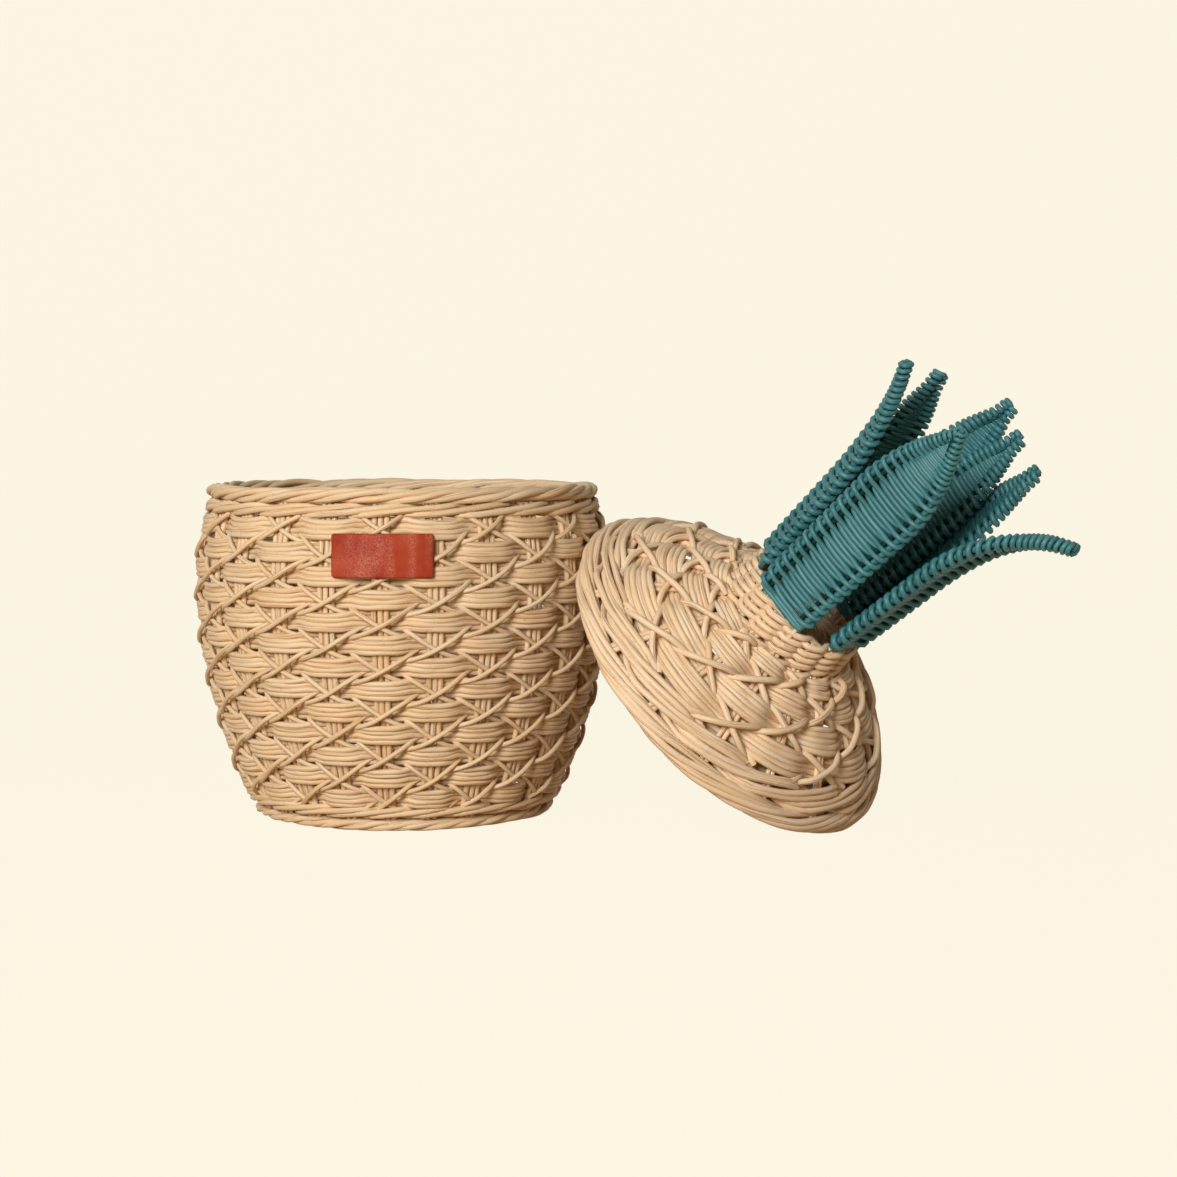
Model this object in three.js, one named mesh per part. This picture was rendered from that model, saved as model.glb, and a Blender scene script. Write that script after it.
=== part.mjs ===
// A lidded pineapple basket of woven cane, in millimetres, +Z up.
// The origin is the centre of the basket's base, on the floor. The lid is off: it stands
// on its rim beside the basket and leans against the wall, with its leaf crown up.
import * as THREE from 'three';

// Shared fits
const CLEARANCE = 0.35; // between pieces that rest on or pass each other
const RING_STEPS = 48; // facets round each ring

// Basket: the wall's profile is the centre line of its upright stakes
const BASKET_HEIGHT = 240;
const FOOT_RADIUS = 106; // stake line where it leaves the foot
const BELLY_RADIUS = 145.5; // widest stake line
const NECK_RADIUS = 135.5; // stake line under the rolled rim
const BELLY_HEIGHT = 170;
const FOOT_ROUNDING = 0.85; // below 1 the wall swells sooner above the foot

const BASE_THICKNESS = 6; // over its spokes
const BASE_DIP = 1.4; // between them, on top
const BASE_CENTRE_RADIUS = 10; // the spokes' inner ends
const FOOT_BORDER_HEIGHT = 9;
const FOOT_BORDER_INNER = 97;
const FOOT_BORDER_OUTER = 110;
const FOOT_WALE_HEIGHT = 9;
const RIM_BORDER_HEIGHT = 10;
const RIM_BORDER_INNER = 129.5;
const RIM_BORDER_OUTER = 143;
const RIM_WALE_HEIGHT = 9;
const WALE_THICKNESS = 4.6;
const FOOT_BORDER_CHAMFER = 3; // under its outer edge
const BORDER_SLANT = 0.25; // chamfer of a rolled border, as a share of its height
const WALE_ROUNDING = 0.25; // how far its middle stands out, as a share of its thickness

const STAKE_COUNT = 24;
const STAKE_WIDTH = 13; // three canes side by side
const STAKE_THICKNESS = 4.4;
const FIRST_STAKE_TURN = 12.8; // degrees to the right of the front

const ROW_COUNT = 13;
const ROW_HEIGHT = 12; // four canes, one above the other
const ROW_THICKNESS = 3.6;
const ROW_MARGIN = 1; // from a wale to the nearest row
const FLOAT_OVERHANG = 1.5; // a row runs straight this far past each side of a stake

const TAG_WIDTH = 70;
const TAG_HEIGHT = 30;
const TAG_THICKNESS = 2;
const TAG_ROWS_DOWN = 1.17; // its middle below the top row's, in rows
const TAG_TURN = -1.4; // degrees to the right of the front
const TAG_STEPS = 8;

// Lid, in its own frame: the rim's underside is at 0 and the crown points along +Z
const LID_RIM_HEIGHT = 14;
const LID_RIM_OUTER = 139;
const LID_RIM_INNER = 124;
const DOME_FOOT_RADIUS = 129.5;
const DOME_TOP_RADIUS = 56;
const DOME_TOP_HEIGHT = 66;
const DOME_THICKNESS = 5;
const DOME_STEPS = 8; // up its inner side
const DOME_WALE_STEPS = 2;
const DOME_FLOAT_STEPS = 5;
const DOME_SWELL = 8; // how far the dome stands out from a straight cone
const DOME_WALE_RELIEF = 3.6; // how far the rods round the dome's foot stand out
const DOME_FLOAT_RELIEF = 2.6; // how far the rows stand out over a pair of lid stakes
const DOME_DIP = 0.5; // how far they sink between the pairs
const LID_STAKE_COUNT = 16; // pairs of canes
const FIRST_LID_STAKE_TURN = 32.5; // degrees to the right of the lid's front
// Shares of the dome's height where the canes on it begin and end
const DOME_WALE_START = 0.03;
const DOME_WALE_END = 0.27;
const DOME_FLOAT_START = 0.31;
const DOME_FLOAT_END = 0.95;
const COLLAR_HEIGHT = 24;
const COLLAR_FOOT_RADIUS = 51;
const COLLAR_TOP_RADIUS = 48;
const COLLAR_INNER = 24;

// Lid placement
const LID_AXIS_RISE = 40.3; // degrees of the lid's axis above the floor
const LID_AXIS_HEADING = 37; // degrees of the lid's axis from +X towards the front
const LID_MIDDLE_X = 234.6;
const LID_MIDDLE_Y = -55.5;

// Leaves: a hoop of cane with a wound panel in it
const LEAF_LENGTH = 198; // of the longest
const LEAF_HALF_WIDTH = 25; // of the widest
const LEAF_REACH = 43; // of the outer leaves' feet from the axis
const LEAF_FRAME_DIAMETER = 4.4;
const LEAF_PANEL_THICKNESS = 5;
const LEAF_STEPS = 12; // along one side
const LEAF_SHOULDER = 0.6; // share of the length where the point begins
const LEAF_BEND_START = 0.35; // share of the length where the tip begins to turn out
const LEAF_BEND_POWER = 1.4; // above 1 it turns mostly near the tip
const LEAF_FOOT_SHARE = 0.9; // width at the foot, as a share of the width at the shoulder
const LEAF_POINT_POWER = 1.8; // above 1 the sides bow out before the point
const HOOP_SIDES = 6;
// turn: degrees round the lid's axis; reach, width and length: shares of the sizes above;
// lean: outwards at the foot, tipTurn: more at the tip, both in degrees
const LEAVES = [
  { turn: -84, reach: 1, width: 1, length: 0.95, lean: 0.5, tipTurn: 10 },
  { turn: -149, reach: 1, width: 0.72, length: 0.925, lean: 3, tipTurn: 27 },
  { turn: 163, reach: 0.77, width: 0.76, length: 0.87, lean: 7, tipTurn: 12 },
  { turn: 111, reach: 1, width: 0.8, length: 0.94, lean: 1, tipTurn: 6 },
  { turn: 81, reach: 0.7, width: 0.72, length: 0.92, lean: 1.5, tipTurn: 5 },
  { turn: 49, reach: 1, width: 0.68, length: 0.895, lean: 1, tipTurn: 5 },
  { turn: -3, reach: 0.98, width: 0.68, length: 1, lean: 5, tipTurn: 58 },
];

// Colours and finishes
const CANE = { color: 0xe0b98a, roughness: 0.55, metalness: 0 };
const LID_CANE = { color: 0xe8c596, roughness: 0.55, metalness: 0 };
const TEAL_CANE = { color: 0x3c7d78, roughness: 0.5, metalness: 0 };
const LEATHER = { color: 0xb84f2e, roughness: 0.6, metalness: 0 };

const degrees = THREE.MathUtils.degToRad;

// Heights that stack up from the floor
const footWaleFoot = FOOT_BORDER_HEIGHT + CLEARANCE;
const footWaleTop = footWaleFoot + FOOT_WALE_HEIGHT;
const rimBorderFoot = BASKET_HEIGHT - RIM_BORDER_HEIGHT;
const rimWaleTop = rimBorderFoot - CLEARANCE;
const rimWaleFoot = rimWaleTop - RIM_WALE_HEIGHT;
const firstRowMiddle = footWaleTop + ROW_MARGIN + ROW_HEIGHT / 2;
const lastRowMiddle = rimWaleFoot - ROW_MARGIN - ROW_HEIGHT / 2;
const rowPitch = (lastRowMiddle - firstRowMiddle) / (ROW_COUNT - 1);
const stakeFoot = FOOT_BORDER_HEIGHT + CLEARANCE;
const stakeTop = rimBorderFoot - CLEARANCE;

// Radius of the stakes' centre line at a height
function stakeRadius(height) {
  if (height > BELLY_HEIGHT) {
    const above = (height - BELLY_HEIGHT) / (stakeTop - BELLY_HEIGHT);
    return BELLY_RADIUS - (BELLY_RADIUS - NECK_RADIUS) * above * above;
  }
  const below = Math.max(height - FOOT_BORDER_HEIGHT, 0) / (BELLY_HEIGHT - FOOT_BORDER_HEIGHT);
  const swell = Math.sin(below * Math.PI / 2) ** FOOT_ROUNDING;
  return FOOT_RADIUS + (BELLY_RADIUS - FOOT_RADIUS) * swell;
}

// A point at a turn from the front, out from the axis and sideways along the wall
function wallPoint(turn, out, sideways, height) {
  const x = out * Math.sin(turn) + sideways * Math.cos(turn);
  const y = -out * Math.cos(turn) + sideways * Math.sin(turn);
  return new THREE.Vector3(x, y, height);
}

// Skins a run of sections with equal point counts. A closed run joins its last section
// to its first, and an open one gets a flat cap at each end.
function loft(sections, closed) {
  const size = sections[0].length;
  const positions = sections.flat().flatMap((point) => point.toArray());
  const faces = [];
  const spans = closed ? sections.length : sections.length - 1;
  for (let span = 0; span < spans; span += 1) {
    const here = span * size;
    const next = ((span + 1) % sections.length) * size;
    for (let corner = 0; corner < size; corner += 1) {
      const after = (corner + 1) % size;
      faces.push([here + corner, here + after, next + after]);
      faces.push([here + corner, next + after, next + corner]);
    }
  }
  if (!closed) {
    const last = (sections.length - 1) * size;
    for (let corner = 1; corner < size - 1; corner += 1) {
      faces.push([0, corner + 1, corner]);
      faces.push([last, last + corner, last + corner + 1]);
    }
  }
  return outwardGeometry(positions, faces);
}

// A geometry whose faces point out: they are turned over if they enclose a negative volume
function outwardGeometry(positions, faces) {
  const corner = (index) => new THREE.Vector3().fromArray(positions, index * 3);
  const volume = faces.reduce(
    (sum, [a, b, c]) => sum + corner(a).dot(corner(b).cross(corner(c))),
    0,
  );
  const indices = faces.flatMap(([a, b, c]) => (volume > 0 ? [a, b, c] : [a, c, b]));
  const geometry = new THREE.BufferGeometry();
  geometry.setAttribute('position', new THREE.Float32BufferAttribute(positions, 3));
  geometry.setIndex(indices);
  geometry.computeVertexNormals();
  return geometry;
}

function mesh(name, geometry, finish) {
  const piece = new THREE.Mesh(geometry, new THREE.MeshStandardMaterial(finish));
  piece.name = name;
  return piece;
}

// A ring turned about +Z from a closed outline of [radius, height] points
function ring(outline) {
  const sections = [];
  for (let step = 0; step < RING_STEPS; step += 1) {
    const angle = (step * 2 * Math.PI) / RING_STEPS;
    const toPoint = ([radius, height]) =>
      new THREE.Vector3(radius * Math.cos(angle), radius * Math.sin(angle), height);
    sections.push(outline.map(toPoint));
  }
  return loft(sections, true);
}

// Turns a profile about +Z. The profile may differ from step to step round the axis.
function turned(profileAt, firstTurn) {
  const size = profileAt(0).length;
  const geometry = new THREE.LatheGeometry(profileAt(0), RING_STEPS);
  const spots = geometry.getAttribute('position');
  for (let index = 0; index < spots.count; index += 1) {
    const step = Math.floor(index / size) % RING_STEPS;
    const turn = firstTurn + (step * 2 * Math.PI) / RING_STEPS;
    const spot = profileAt(step)[index % size];
    spots.setXYZ(index, spot.x * Math.sin(turn), spot.y, spot.x * Math.cos(turn));
  }
  geometry.rotateX(Math.PI / 2);
  geometry.computeVertexNormals();
  return geometry;
}

// A rounded rope-like border: flat on top and underneath, with slanted sides
function borderOutline(inner, outer, foot, top) {
  const slant = (top - foot) * BORDER_SLANT;
  return [
    [inner + slant, foot],
    [outer - slant, foot],
    [outer, (foot + top) / 2],
    [outer - slant, top],
    [inner + slant, top],
    [inner, (foot + top) / 2],
  ];
}

// A wale hugs the outside of the stakes
function waleOutline(foot, top) {
  const inner = (height) => {
    const stakeCorner = Math.hypot(stakeRadius(height) + STAKE_THICKNESS / 2, STAKE_WIDTH / 2);
    return (stakeCorner + CLEARANCE) / Math.cos(Math.PI / RING_STEPS);
  };
  const middle = (foot + top) / 2;
  const round = WALE_THICKNESS * WALE_ROUNDING;
  return [
    [inner(foot), foot],
    [inner(foot) + WALE_THICKNESS - round, foot],
    [inner(middle) + WALE_THICKNESS, middle],
    [inner(top) + WALE_THICKNESS - round, top],
    [inner(top), top],
    [inner(middle), middle],
  ];
}

// The woven floor: flat underneath, and ridged on top over its spokes, one for each stake
function makeBaseDisc() {
  const radius = FOOT_BORDER_INNER * Math.cos(Math.PI / RING_STEPS) - CLEARANCE;
  const stepsToSpoke = RING_STEPS / STAKE_COUNT;
  const profileAt = (step) => {
    const top = step % stepsToSpoke === 0 ? BASE_THICKNESS : BASE_THICKNESS - BASE_DIP;
    return [
      new THREE.Vector2(0, 0),
      new THREE.Vector2(radius, 0),
      new THREE.Vector2(radius, top),
      new THREE.Vector2(BASE_CENTRE_RADIUS, top),
      new THREE.Vector2(0, BASE_THICKNESS),
    ];
  };
  return mesh('base_disc', turned(profileAt, degrees(FIRST_STAKE_TURN)), CANE);
}

function makeFootBorder() {
  const outline = [
    [FOOT_BORDER_INNER, 0],
    [FOOT_BORDER_OUTER - FOOT_BORDER_CHAMFER, 0],
    [FOOT_BORDER_OUTER, FOOT_BORDER_HEIGHT / 2],
    [FOOT_BORDER_OUTER, FOOT_BORDER_HEIGHT],
    [FOOT_BORDER_INNER, FOOT_BORDER_HEIGHT],
  ];
  return mesh('foot_border', ring(outline), CANE);
}

function makeStake(index) {
  const turn = degrees(FIRST_STAKE_TURN) + (index * 2 * Math.PI) / STAKE_COUNT;
  const heights = [stakeFoot];
  for (let row = 0; row <= ROW_COUNT; row += 1) {
    heights.push(firstRowMiddle + (row - 0.5) * rowPitch);
  }
  heights.push(stakeTop);
  const halfWidth = STAKE_WIDTH / 2;
  const halfDepth = STAKE_THICKNESS / 2;
  const sections = heights.map((height) => [
    wallPoint(turn, stakeRadius(height) - halfDepth, -halfWidth, height),
    wallPoint(turn, stakeRadius(height) + halfDepth, -halfWidth, height),
    wallPoint(turn, stakeRadius(height) + halfDepth, halfWidth, height),
    wallPoint(turn, stakeRadius(height) - halfDepth, halfWidth, height),
  ]);
  return mesh(`stake_${index + 1}`, loft(sections, false), CANE);
}

// A row passes outside one stake and inside the next, and the row above does the opposite
const rowOffset = STAKE_THICKNESS / 2 + CLEARANCE + ROW_THICKNESS / 2;

function makeRow(index) {
  const middle = firstRowMiddle + index * rowPitch;
  const foot = middle - ROW_HEIGHT / 2;
  const top = middle + ROW_HEIGHT / 2;
  const halfDepth = ROW_THICKNESS / 2;
  const halfFloat = STAKE_WIDTH / 2 + FLOAT_OVERHANG;
  const sections = [];
  for (let stake = 0; stake < STAKE_COUNT; stake += 1) {
    const turn = degrees(FIRST_STAKE_TURN) + (stake * 2 * Math.PI) / STAKE_COUNT;
    const side = (index + stake) % 2 === 0 ? 1 : -1;
    for (const sideways of [-halfFloat, halfFloat]) {
      const footOut = stakeRadius(foot) + side * rowOffset;
      const topOut = stakeRadius(top) + side * rowOffset;
      sections.push([
        wallPoint(turn, footOut - halfDepth, sideways, foot),
        wallPoint(turn, footOut + halfDepth, sideways, foot),
        wallPoint(turn, topOut + halfDepth, sideways, top),
        wallPoint(turn, topOut - halfDepth, sideways, top),
      ]);
    }
  }
  return mesh(`weave_row_${index + 1}`, loft(sections, true), CANE);
}

// The tag lies on the outer face of the floats behind it
function makeTag() {
  const floatOut = rowOffset + ROW_THICKNESS / 2;
  const halfFloat = STAKE_WIDTH / 2 + FLOAT_OVERHANG;
  const back = (height) => Math.hypot(stakeRadius(height) + floatOut, halfFloat) + CLEARANCE;
  const middle = lastRowMiddle - TAG_ROWS_DOWN * rowPitch;
  const foot = middle - TAG_HEIGHT / 2;
  const top = middle + TAG_HEIGHT / 2;
  const spread = TAG_WIDTH / back(middle);
  const sections = [];
  for (let step = 0; step <= TAG_STEPS; step += 1) {
    const turn = degrees(TAG_TURN) + spread * (step / TAG_STEPS - 0.5);
    const behind = [middle, top].map((height) => wallPoint(turn, back(height), 0, height));
    const front = [top, middle, foot].map((height) =>
      wallPoint(turn, back(height) + TAG_THICKNESS, 0, height),
    );
    sections.push([...behind, ...front, wallPoint(turn, back(foot), 0, foot)]);
  }
  return mesh('leather_tag', loft(sections, false), LEATHER);
}

// Lid rim: the outline is used again to stand the lid on the floor
const lidRimOutline = borderOutline(LID_RIM_INNER, LID_RIM_OUTER, 0, LID_RIM_HEIGHT);

const domeFoot = LID_RIM_HEIGHT + CLEARANCE;

// The dome rises from the rim as a cone that swells outwards, and is closed on top
function domeRadius(share) {
  const cone = DOME_FOOT_RADIUS + (DOME_TOP_RADIUS - DOME_FOOT_RADIUS) * share;
  return cone + DOME_SWELL * Math.sin(share * Math.PI);
}

// A point that stands out square to the dome's side, at a share of its height
function domePoint(share, relief) {
  const rise = DOME_TOP_HEIGHT - domeFoot;
  const swelling = Math.PI * DOME_SWELL * Math.cos(share * Math.PI);
  const inward = DOME_FOOT_RADIUS - DOME_TOP_RADIUS - swelling;
  const slant = Math.hypot(rise, inward);
  const out = domeRadius(share) + (relief * rise) / slant;
  return new THREE.Vector2(out, domeFoot + rise * share + (relief * inward) / slant);
}

// Shares of the dome's height from start to end, in even steps
function sharesBetween(start, end, count) {
  return Array.from({ length: count + 1 }, (_, step) => start + ((end - start) * step) / count);
}

// The dome's canes: rods stand out all round its foot, and above them the rows stand out
// over each pair of stakes and sink between the pairs
function makeDome() {
  const inner = sharesBetween((DOME_STEPS - 1) / DOME_STEPS, 0, DOME_STEPS - 1).map((share) => {
    const height = domeFoot + (DOME_TOP_HEIGHT - DOME_THICKNESS - domeFoot) * share;
    return new THREE.Vector2(domeRadius(share) - DOME_THICKNESS, height);
  });
  const ceiling = new THREE.Vector2(0, DOME_TOP_HEIGHT - DOME_THICKNESS);
  const crest = new THREE.Vector2(0, DOME_TOP_HEIGHT);
  const innerTop = new THREE.Vector2(domeRadius(1) - DOME_THICKNESS, ceiling.y);
  const rods = sharesBetween(DOME_WALE_START, DOME_WALE_END, DOME_WALE_STEPS);
  const rows = sharesBetween(DOME_FLOAT_START, DOME_FLOAT_END, DOME_FLOAT_STEPS);
  const stepsToStake = RING_STEPS / LID_STAKE_COUNT;
  const profileAt = (step) => {
    const between = step % stepsToStake === 0;
    const relief = between ? -DOME_DIP : DOME_FLOAT_RELIEF;
    return [
      ceiling,
      innerTop,
      ...inner,
      domePoint(0, 0),
      ...rods.map((share) => domePoint(share, DOME_WALE_RELIEF)),
      ...rows.map((share) => domePoint(share, relief)),
      domePoint(1, 0),
      crest,
    ];
  };
  const firstGap = degrees(FIRST_LID_STAKE_TURN + 180 / LID_STAKE_COUNT);
  return mesh('lid_dome', turned(profileAt, firstGap), LID_CANE);
}

const collarFoot = DOME_TOP_HEIGHT + CLEARANCE;
const collarTop = collarFoot + COLLAR_HEIGHT;

function makeCollar() {
  const outline = [
    [COLLAR_INNER, collarFoot],
    [COLLAR_FOOT_RADIUS, collarFoot],
    [COLLAR_TOP_RADIUS, collarTop],
    [COLLAR_INNER, collarTop],
  ];
  return mesh('lid_collar', ring(outline), LID_CANE);
}

// Half the leaf's width, from its foot at 0 to its point at 1
function leafShape(share) {
  if (share < LEAF_SHOULDER) {
    return LEAF_FOOT_SHARE + (1 - LEAF_FOOT_SHARE) * (share / LEAF_SHOULDER);
  }
  const past = (share - LEAF_SHOULDER) / (1 - LEAF_SHOULDER);
  return 1 - past ** LEAF_POINT_POWER;
}

const stepLength = (leaf) => (leaf.length * LEAF_LENGTH) / LEAF_STEPS;
const halfWidthAt = (leaf, share) => leafShape(share) * leaf.width * LEAF_HALF_WIDTH;

// The leaf's middle line in the plane of the lid's axis: [out, up, lean] at each step
function leafLine(leaf) {
  const step = stepLength(leaf);
  const line = [];
  let out = leaf.reach * LEAF_REACH;
  let up = collarTop + CLEARANCE + LEAF_FRAME_DIAMETER / 2;
  for (let index = 0; index <= LEAF_STEPS; index += 1) {
    const share = index / LEAF_STEPS;
    const bend = Math.max(0, (share - LEAF_BEND_START) / (1 - LEAF_BEND_START));
    const lean = degrees(leaf.lean + leaf.tipTurn * bend ** LEAF_BEND_POWER);
    line.push({ out, up, lean, share });
    out += step * Math.sin(lean);
    up += step * Math.cos(lean);
  }
  return line;
}

// A point of a leaf: out and up in the leaf's plane, sideways across it
function leafPoint(leaf, out, sideways, up) {
  const turn = degrees(leaf.turn);
  const x = out * Math.cos(turn) - sideways * Math.sin(turn);
  const y = out * Math.sin(turn) + sideways * Math.cos(turn);
  return new THREE.Vector3(x, y, up);
}

function makeLeafFrame(leaf, index) {
  const line = leafLine(leaf);
  const radius = LEAF_FRAME_DIAMETER / 2;
  const edge = (share) => Math.max(0, halfWidthAt(leaf, share) - radius);
  const rightSide = line.map((at) => ({ ...at, sideways: edge(at.share) }));
  const leftSide = rightSide.slice(0, -1).reverse().map((at) => ({ ...at, sideways: -at.sideways }));
  const path = [...rightSide, ...leftSide];
  const points = path.map((at) => leafPoint(leaf, at.out, at.sideways, at.up));
  const sections = points.map((point, place) => {
    const before = points[(place + points.length - 1) % points.length];
    const after = points[(place + 1) % points.length];
    const along = after.clone().sub(before).normalize();
    const { lean } = path[place];
    const face = leafPoint(leaf, Math.cos(lean), 0, -Math.sin(lean));
    const across = along.clone().cross(face).normalize();
    const corners = [];
    for (let corner = 0; corner < HOOP_SIDES; corner += 1) {
      const angle = ((corner + 0.5) * 2 * Math.PI) / HOOP_SIDES;
      const offset = face.clone().multiplyScalar(radius * Math.cos(angle));
      offset.addScaledVector(across, radius * Math.sin(angle));
      corners.push(point.clone().add(offset));
    }
    return corners;
  });
  return mesh(`leaf_${index + 1}_frame`, loft(sections, true), TEAL_CANE);
}

// From the leaf's outer edge to the panel: the hoop's cane, wider across where it slants
function panelInset(leaf, share) {
  const ahead = Math.min(1, share + 1 / LEAF_STEPS);
  const narrowing = halfWidthAt(leaf, share) - halfWidthAt(leaf, ahead);
  const slant = Math.atan2(narrowing, stepLength(leaf));
  const radius = LEAF_FRAME_DIAMETER / 2;
  return radius + (radius + CLEARANCE) / Math.cos(slant);
}

// The wound panel fills the hoop, clear of its cane all round
function makeLeafPanel(leaf, index) {
  const halfDepth = LEAF_PANEL_THICKNESS / 2;
  const line = leafLine(leaf);
  const sections = [];
  for (const at of line) {
    const halfWidth = halfWidthAt(leaf, at.share) - panelInset(leaf, at.share);
    if (halfWidth > 0) {
      const lift = at.share === 0 ? LEAF_FRAME_DIAMETER / 2 + CLEARANCE : 0;
      const out = at.out + lift * Math.sin(at.lean);
      const up = at.up + lift * Math.cos(at.lean);
      const dx = halfDepth * Math.cos(at.lean);
      const dz = -halfDepth * Math.sin(at.lean);
      sections.push([
        leafPoint(leaf, out - dx, -halfWidth, up - dz),
        leafPoint(leaf, out + dx, -halfWidth, up + dz),
        leafPoint(leaf, out + dx, halfWidth, up + dz),
        leafPoint(leaf, out - dx, halfWidth, up - dz),
      ]);
    }
  }
  return mesh(`leaf_${index + 1}_wrap`, loft(sections, false), TEAL_CANE);
}

function makeBasket() {
  const basket = new THREE.Group();
  basket.add(makeBaseDisc(), makeFootBorder());
  basket.add(mesh('foot_wale', ring(waleOutline(footWaleFoot, footWaleTop)), CANE));
  for (let index = 0; index < STAKE_COUNT; index += 1) {
    basket.add(makeStake(index));
  }
  for (let index = 0; index < ROW_COUNT; index += 1) {
    basket.add(makeRow(index));
  }
  basket.add(mesh('rim_wale', ring(waleOutline(rimWaleFoot, rimWaleTop)), CANE));
  const rimOutline = borderOutline(RIM_BORDER_INNER, RIM_BORDER_OUTER, rimBorderFoot, BASKET_HEIGHT);
  basket.add(mesh('rim_border', ring(rimOutline), CANE));
  basket.add(makeTag());
  return basket;
}

function makeLid() {
  const lid = new THREE.Group();
  lid.add(mesh('lid_rim', ring(lidRimOutline), LID_CANE), makeDome(), makeCollar());
  LEAVES.forEach((leaf, index) => {
    lid.add(makeLeafFrame(leaf, index), makeLeafPanel(leaf, index));
  });
  // The lid tips over so that the rim's lowest corner just meets the floor
  const tip = degrees(90 - LID_AXIS_RISE);
  const drops = lidRimOutline.map(
    ([radius, height]) => radius * Math.sin(tip) - height * Math.cos(tip),
  );
  lid.rotation.set(0, tip, -degrees(LID_AXIS_HEADING), 'ZYX');
  lid.position.set(LID_MIDDLE_X, LID_MIDDLE_Y, Math.max(...drops));
  return lid;
}

const pineappleBasket = new THREE.Group();
pineappleBasket.add(makeBasket(), makeLid());

export default pineappleBasket;
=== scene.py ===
"""Weaves the lidded pineapple basket over its CAD frame, cane by cane."""

from math import atan2, cos, floor, hypot, pi, radians, remainder, sin, sqrt
from random import Random

import bmesh
import bpy
from bpy.props import FloatProperty, FloatVectorProperty, IntProperty, PointerProperty
from mathutils import Matrix, Vector


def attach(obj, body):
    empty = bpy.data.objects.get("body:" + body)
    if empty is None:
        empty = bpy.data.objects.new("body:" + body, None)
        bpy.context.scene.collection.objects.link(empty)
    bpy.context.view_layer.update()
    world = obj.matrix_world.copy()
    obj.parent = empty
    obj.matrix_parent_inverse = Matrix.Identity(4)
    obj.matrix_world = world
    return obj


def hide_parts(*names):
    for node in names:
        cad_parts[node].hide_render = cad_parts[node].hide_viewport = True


bl_info = {
    "name": "Pineapple basket",
    "version": (1, 0, 0),
    "blender": (4, 5, 0),
    "location": "3D View > Sidebar > Basket",
    "description": "A lidded basket of woven cane in the shape of a pineapple",
    "category": "Add Mesh",
}

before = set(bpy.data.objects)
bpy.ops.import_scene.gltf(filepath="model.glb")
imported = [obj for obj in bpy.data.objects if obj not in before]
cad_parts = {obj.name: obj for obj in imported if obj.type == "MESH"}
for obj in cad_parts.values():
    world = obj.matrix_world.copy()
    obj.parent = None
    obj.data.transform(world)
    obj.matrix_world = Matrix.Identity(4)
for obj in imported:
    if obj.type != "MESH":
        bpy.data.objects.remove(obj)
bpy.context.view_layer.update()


def srgb(red, green, blue):
    """A colour given by its 0 to 255 screen values, as linear values."""
    shares = [value / 255 for value in (red, green, blue)]
    return [s / 12.92 if s <= 0.04045 else ((s + 0.055) / 1.055) ** 2.4 for s in shares]


# Sizes of the CAD, in metres

CLEARANCE = 0.00035
STAKES = 24
FIRST_STAKE = radians(12.8)
STAKE_FOOT = 0.00935
STAKE_TOP = 0.22965
FOOT_HEIGHT = 0.009
FOOT_RADIUS = 0.106
BELLY_RADIUS = 0.1455
NECK_RADIUS = 0.1355
BELLY_HEIGHT = 0.170
FOOT_ROUNDING = 0.85
ROWS = 13
FIRST_ROW = 0.02535
ROW_PITCH = 0.01569167
ROW_OFFSET = 0.00435  # from the stakes' middle line to a float's
ROW_HALF_THICKNESS = 0.0018
FLOAT_HALF_WIDTH = 0.008
FOOT_WALE = 0.01385
RIM_WALE = 0.22515
FOOT_BORDER = (0.1037, 0.0046)
RIM_BORDER = (0.13625, 0.2351)
BASE_HEIGHT = 0.003
BASE_RADIUS = 0.0955

TAG_WIDTH = 0.070
TAG_HEIGHT = 0.030
TAG_THICKNESS = 0.002
TAG_MIDDLE = 0.1953
TAG_TURN = radians(-1.4)
TAG_ROOM = 0.0066  # from the stakes' middle line to the back of the patch

LID_TIP = radians(49.7)
LID_HEADING = radians(37)
LID_PLACE = Vector((0.2346, -0.0555, 0.1033416))
LID_STAKES = 16
LID_FIRST_STAKE = radians(-57.5)
LID_RIM = (0.1315, 0.007)
DOME_FOOT = (0.1295, 0.01435)
DOME_TOP = (0.056, 0.066)
DOME_SWELL = 0.008
DOME_THICKNESS = 0.005
# Distances up the dome: the edges of its rows, and the middles of its wale, rows and top
DOME_ROW_EDGES = (0.0210, 0.0412, 0.0618, 0.0798, 0.0935)
DOME_ROWS = (0.010, 0.0311, 0.0515, 0.0708, 0.0867, 0.100)
DOME_ROW_CANES = (5, 5, 5, 4)
DOME_WALE = 0.0098
COLLAR_FOOT = 0.06635
COLLAR_TOP = 0.09035
COLLAR_FOOT_RADIUS = 0.051
COLLAR_TOP_RADIUS = 0.048

LEAF_LENGTH = 0.198
LEAF_HALF_WIDTH = 0.025
LEAF_REACH = 0.043
LEAF_HOOP = 0.0044
LEAF_STEPS = 12
LEAF_SHOULDER = 0.6
LEAF_BEND_START = 0.35
LEAF_BEND_POWER = 1.4
LEAF_FOOT_SHARE = 0.9
LEAF_POINT_POWER = 1.8
# Of each leaf: its turn in degrees, its reach, width and length as shares of the sizes above,
# and its lean at the foot and turn towards the tip in degrees
LEAVES = (
    (-84, 1, 1, 0.95, 0.5, 10),
    (-149, 1, 0.72, 0.925, 3, 27),
    (163, 0.77, 0.76, 0.87, 7, 12),
    (111, 1, 0.8, 0.94, 1, 6),
    (81, 0.7, 0.72, 0.92, 1.5, 5),
    (49, 1, 0.68, 0.895, 1, 5),
    (-3, 0.98, 0.68, 1, 5, 58),
)

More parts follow.
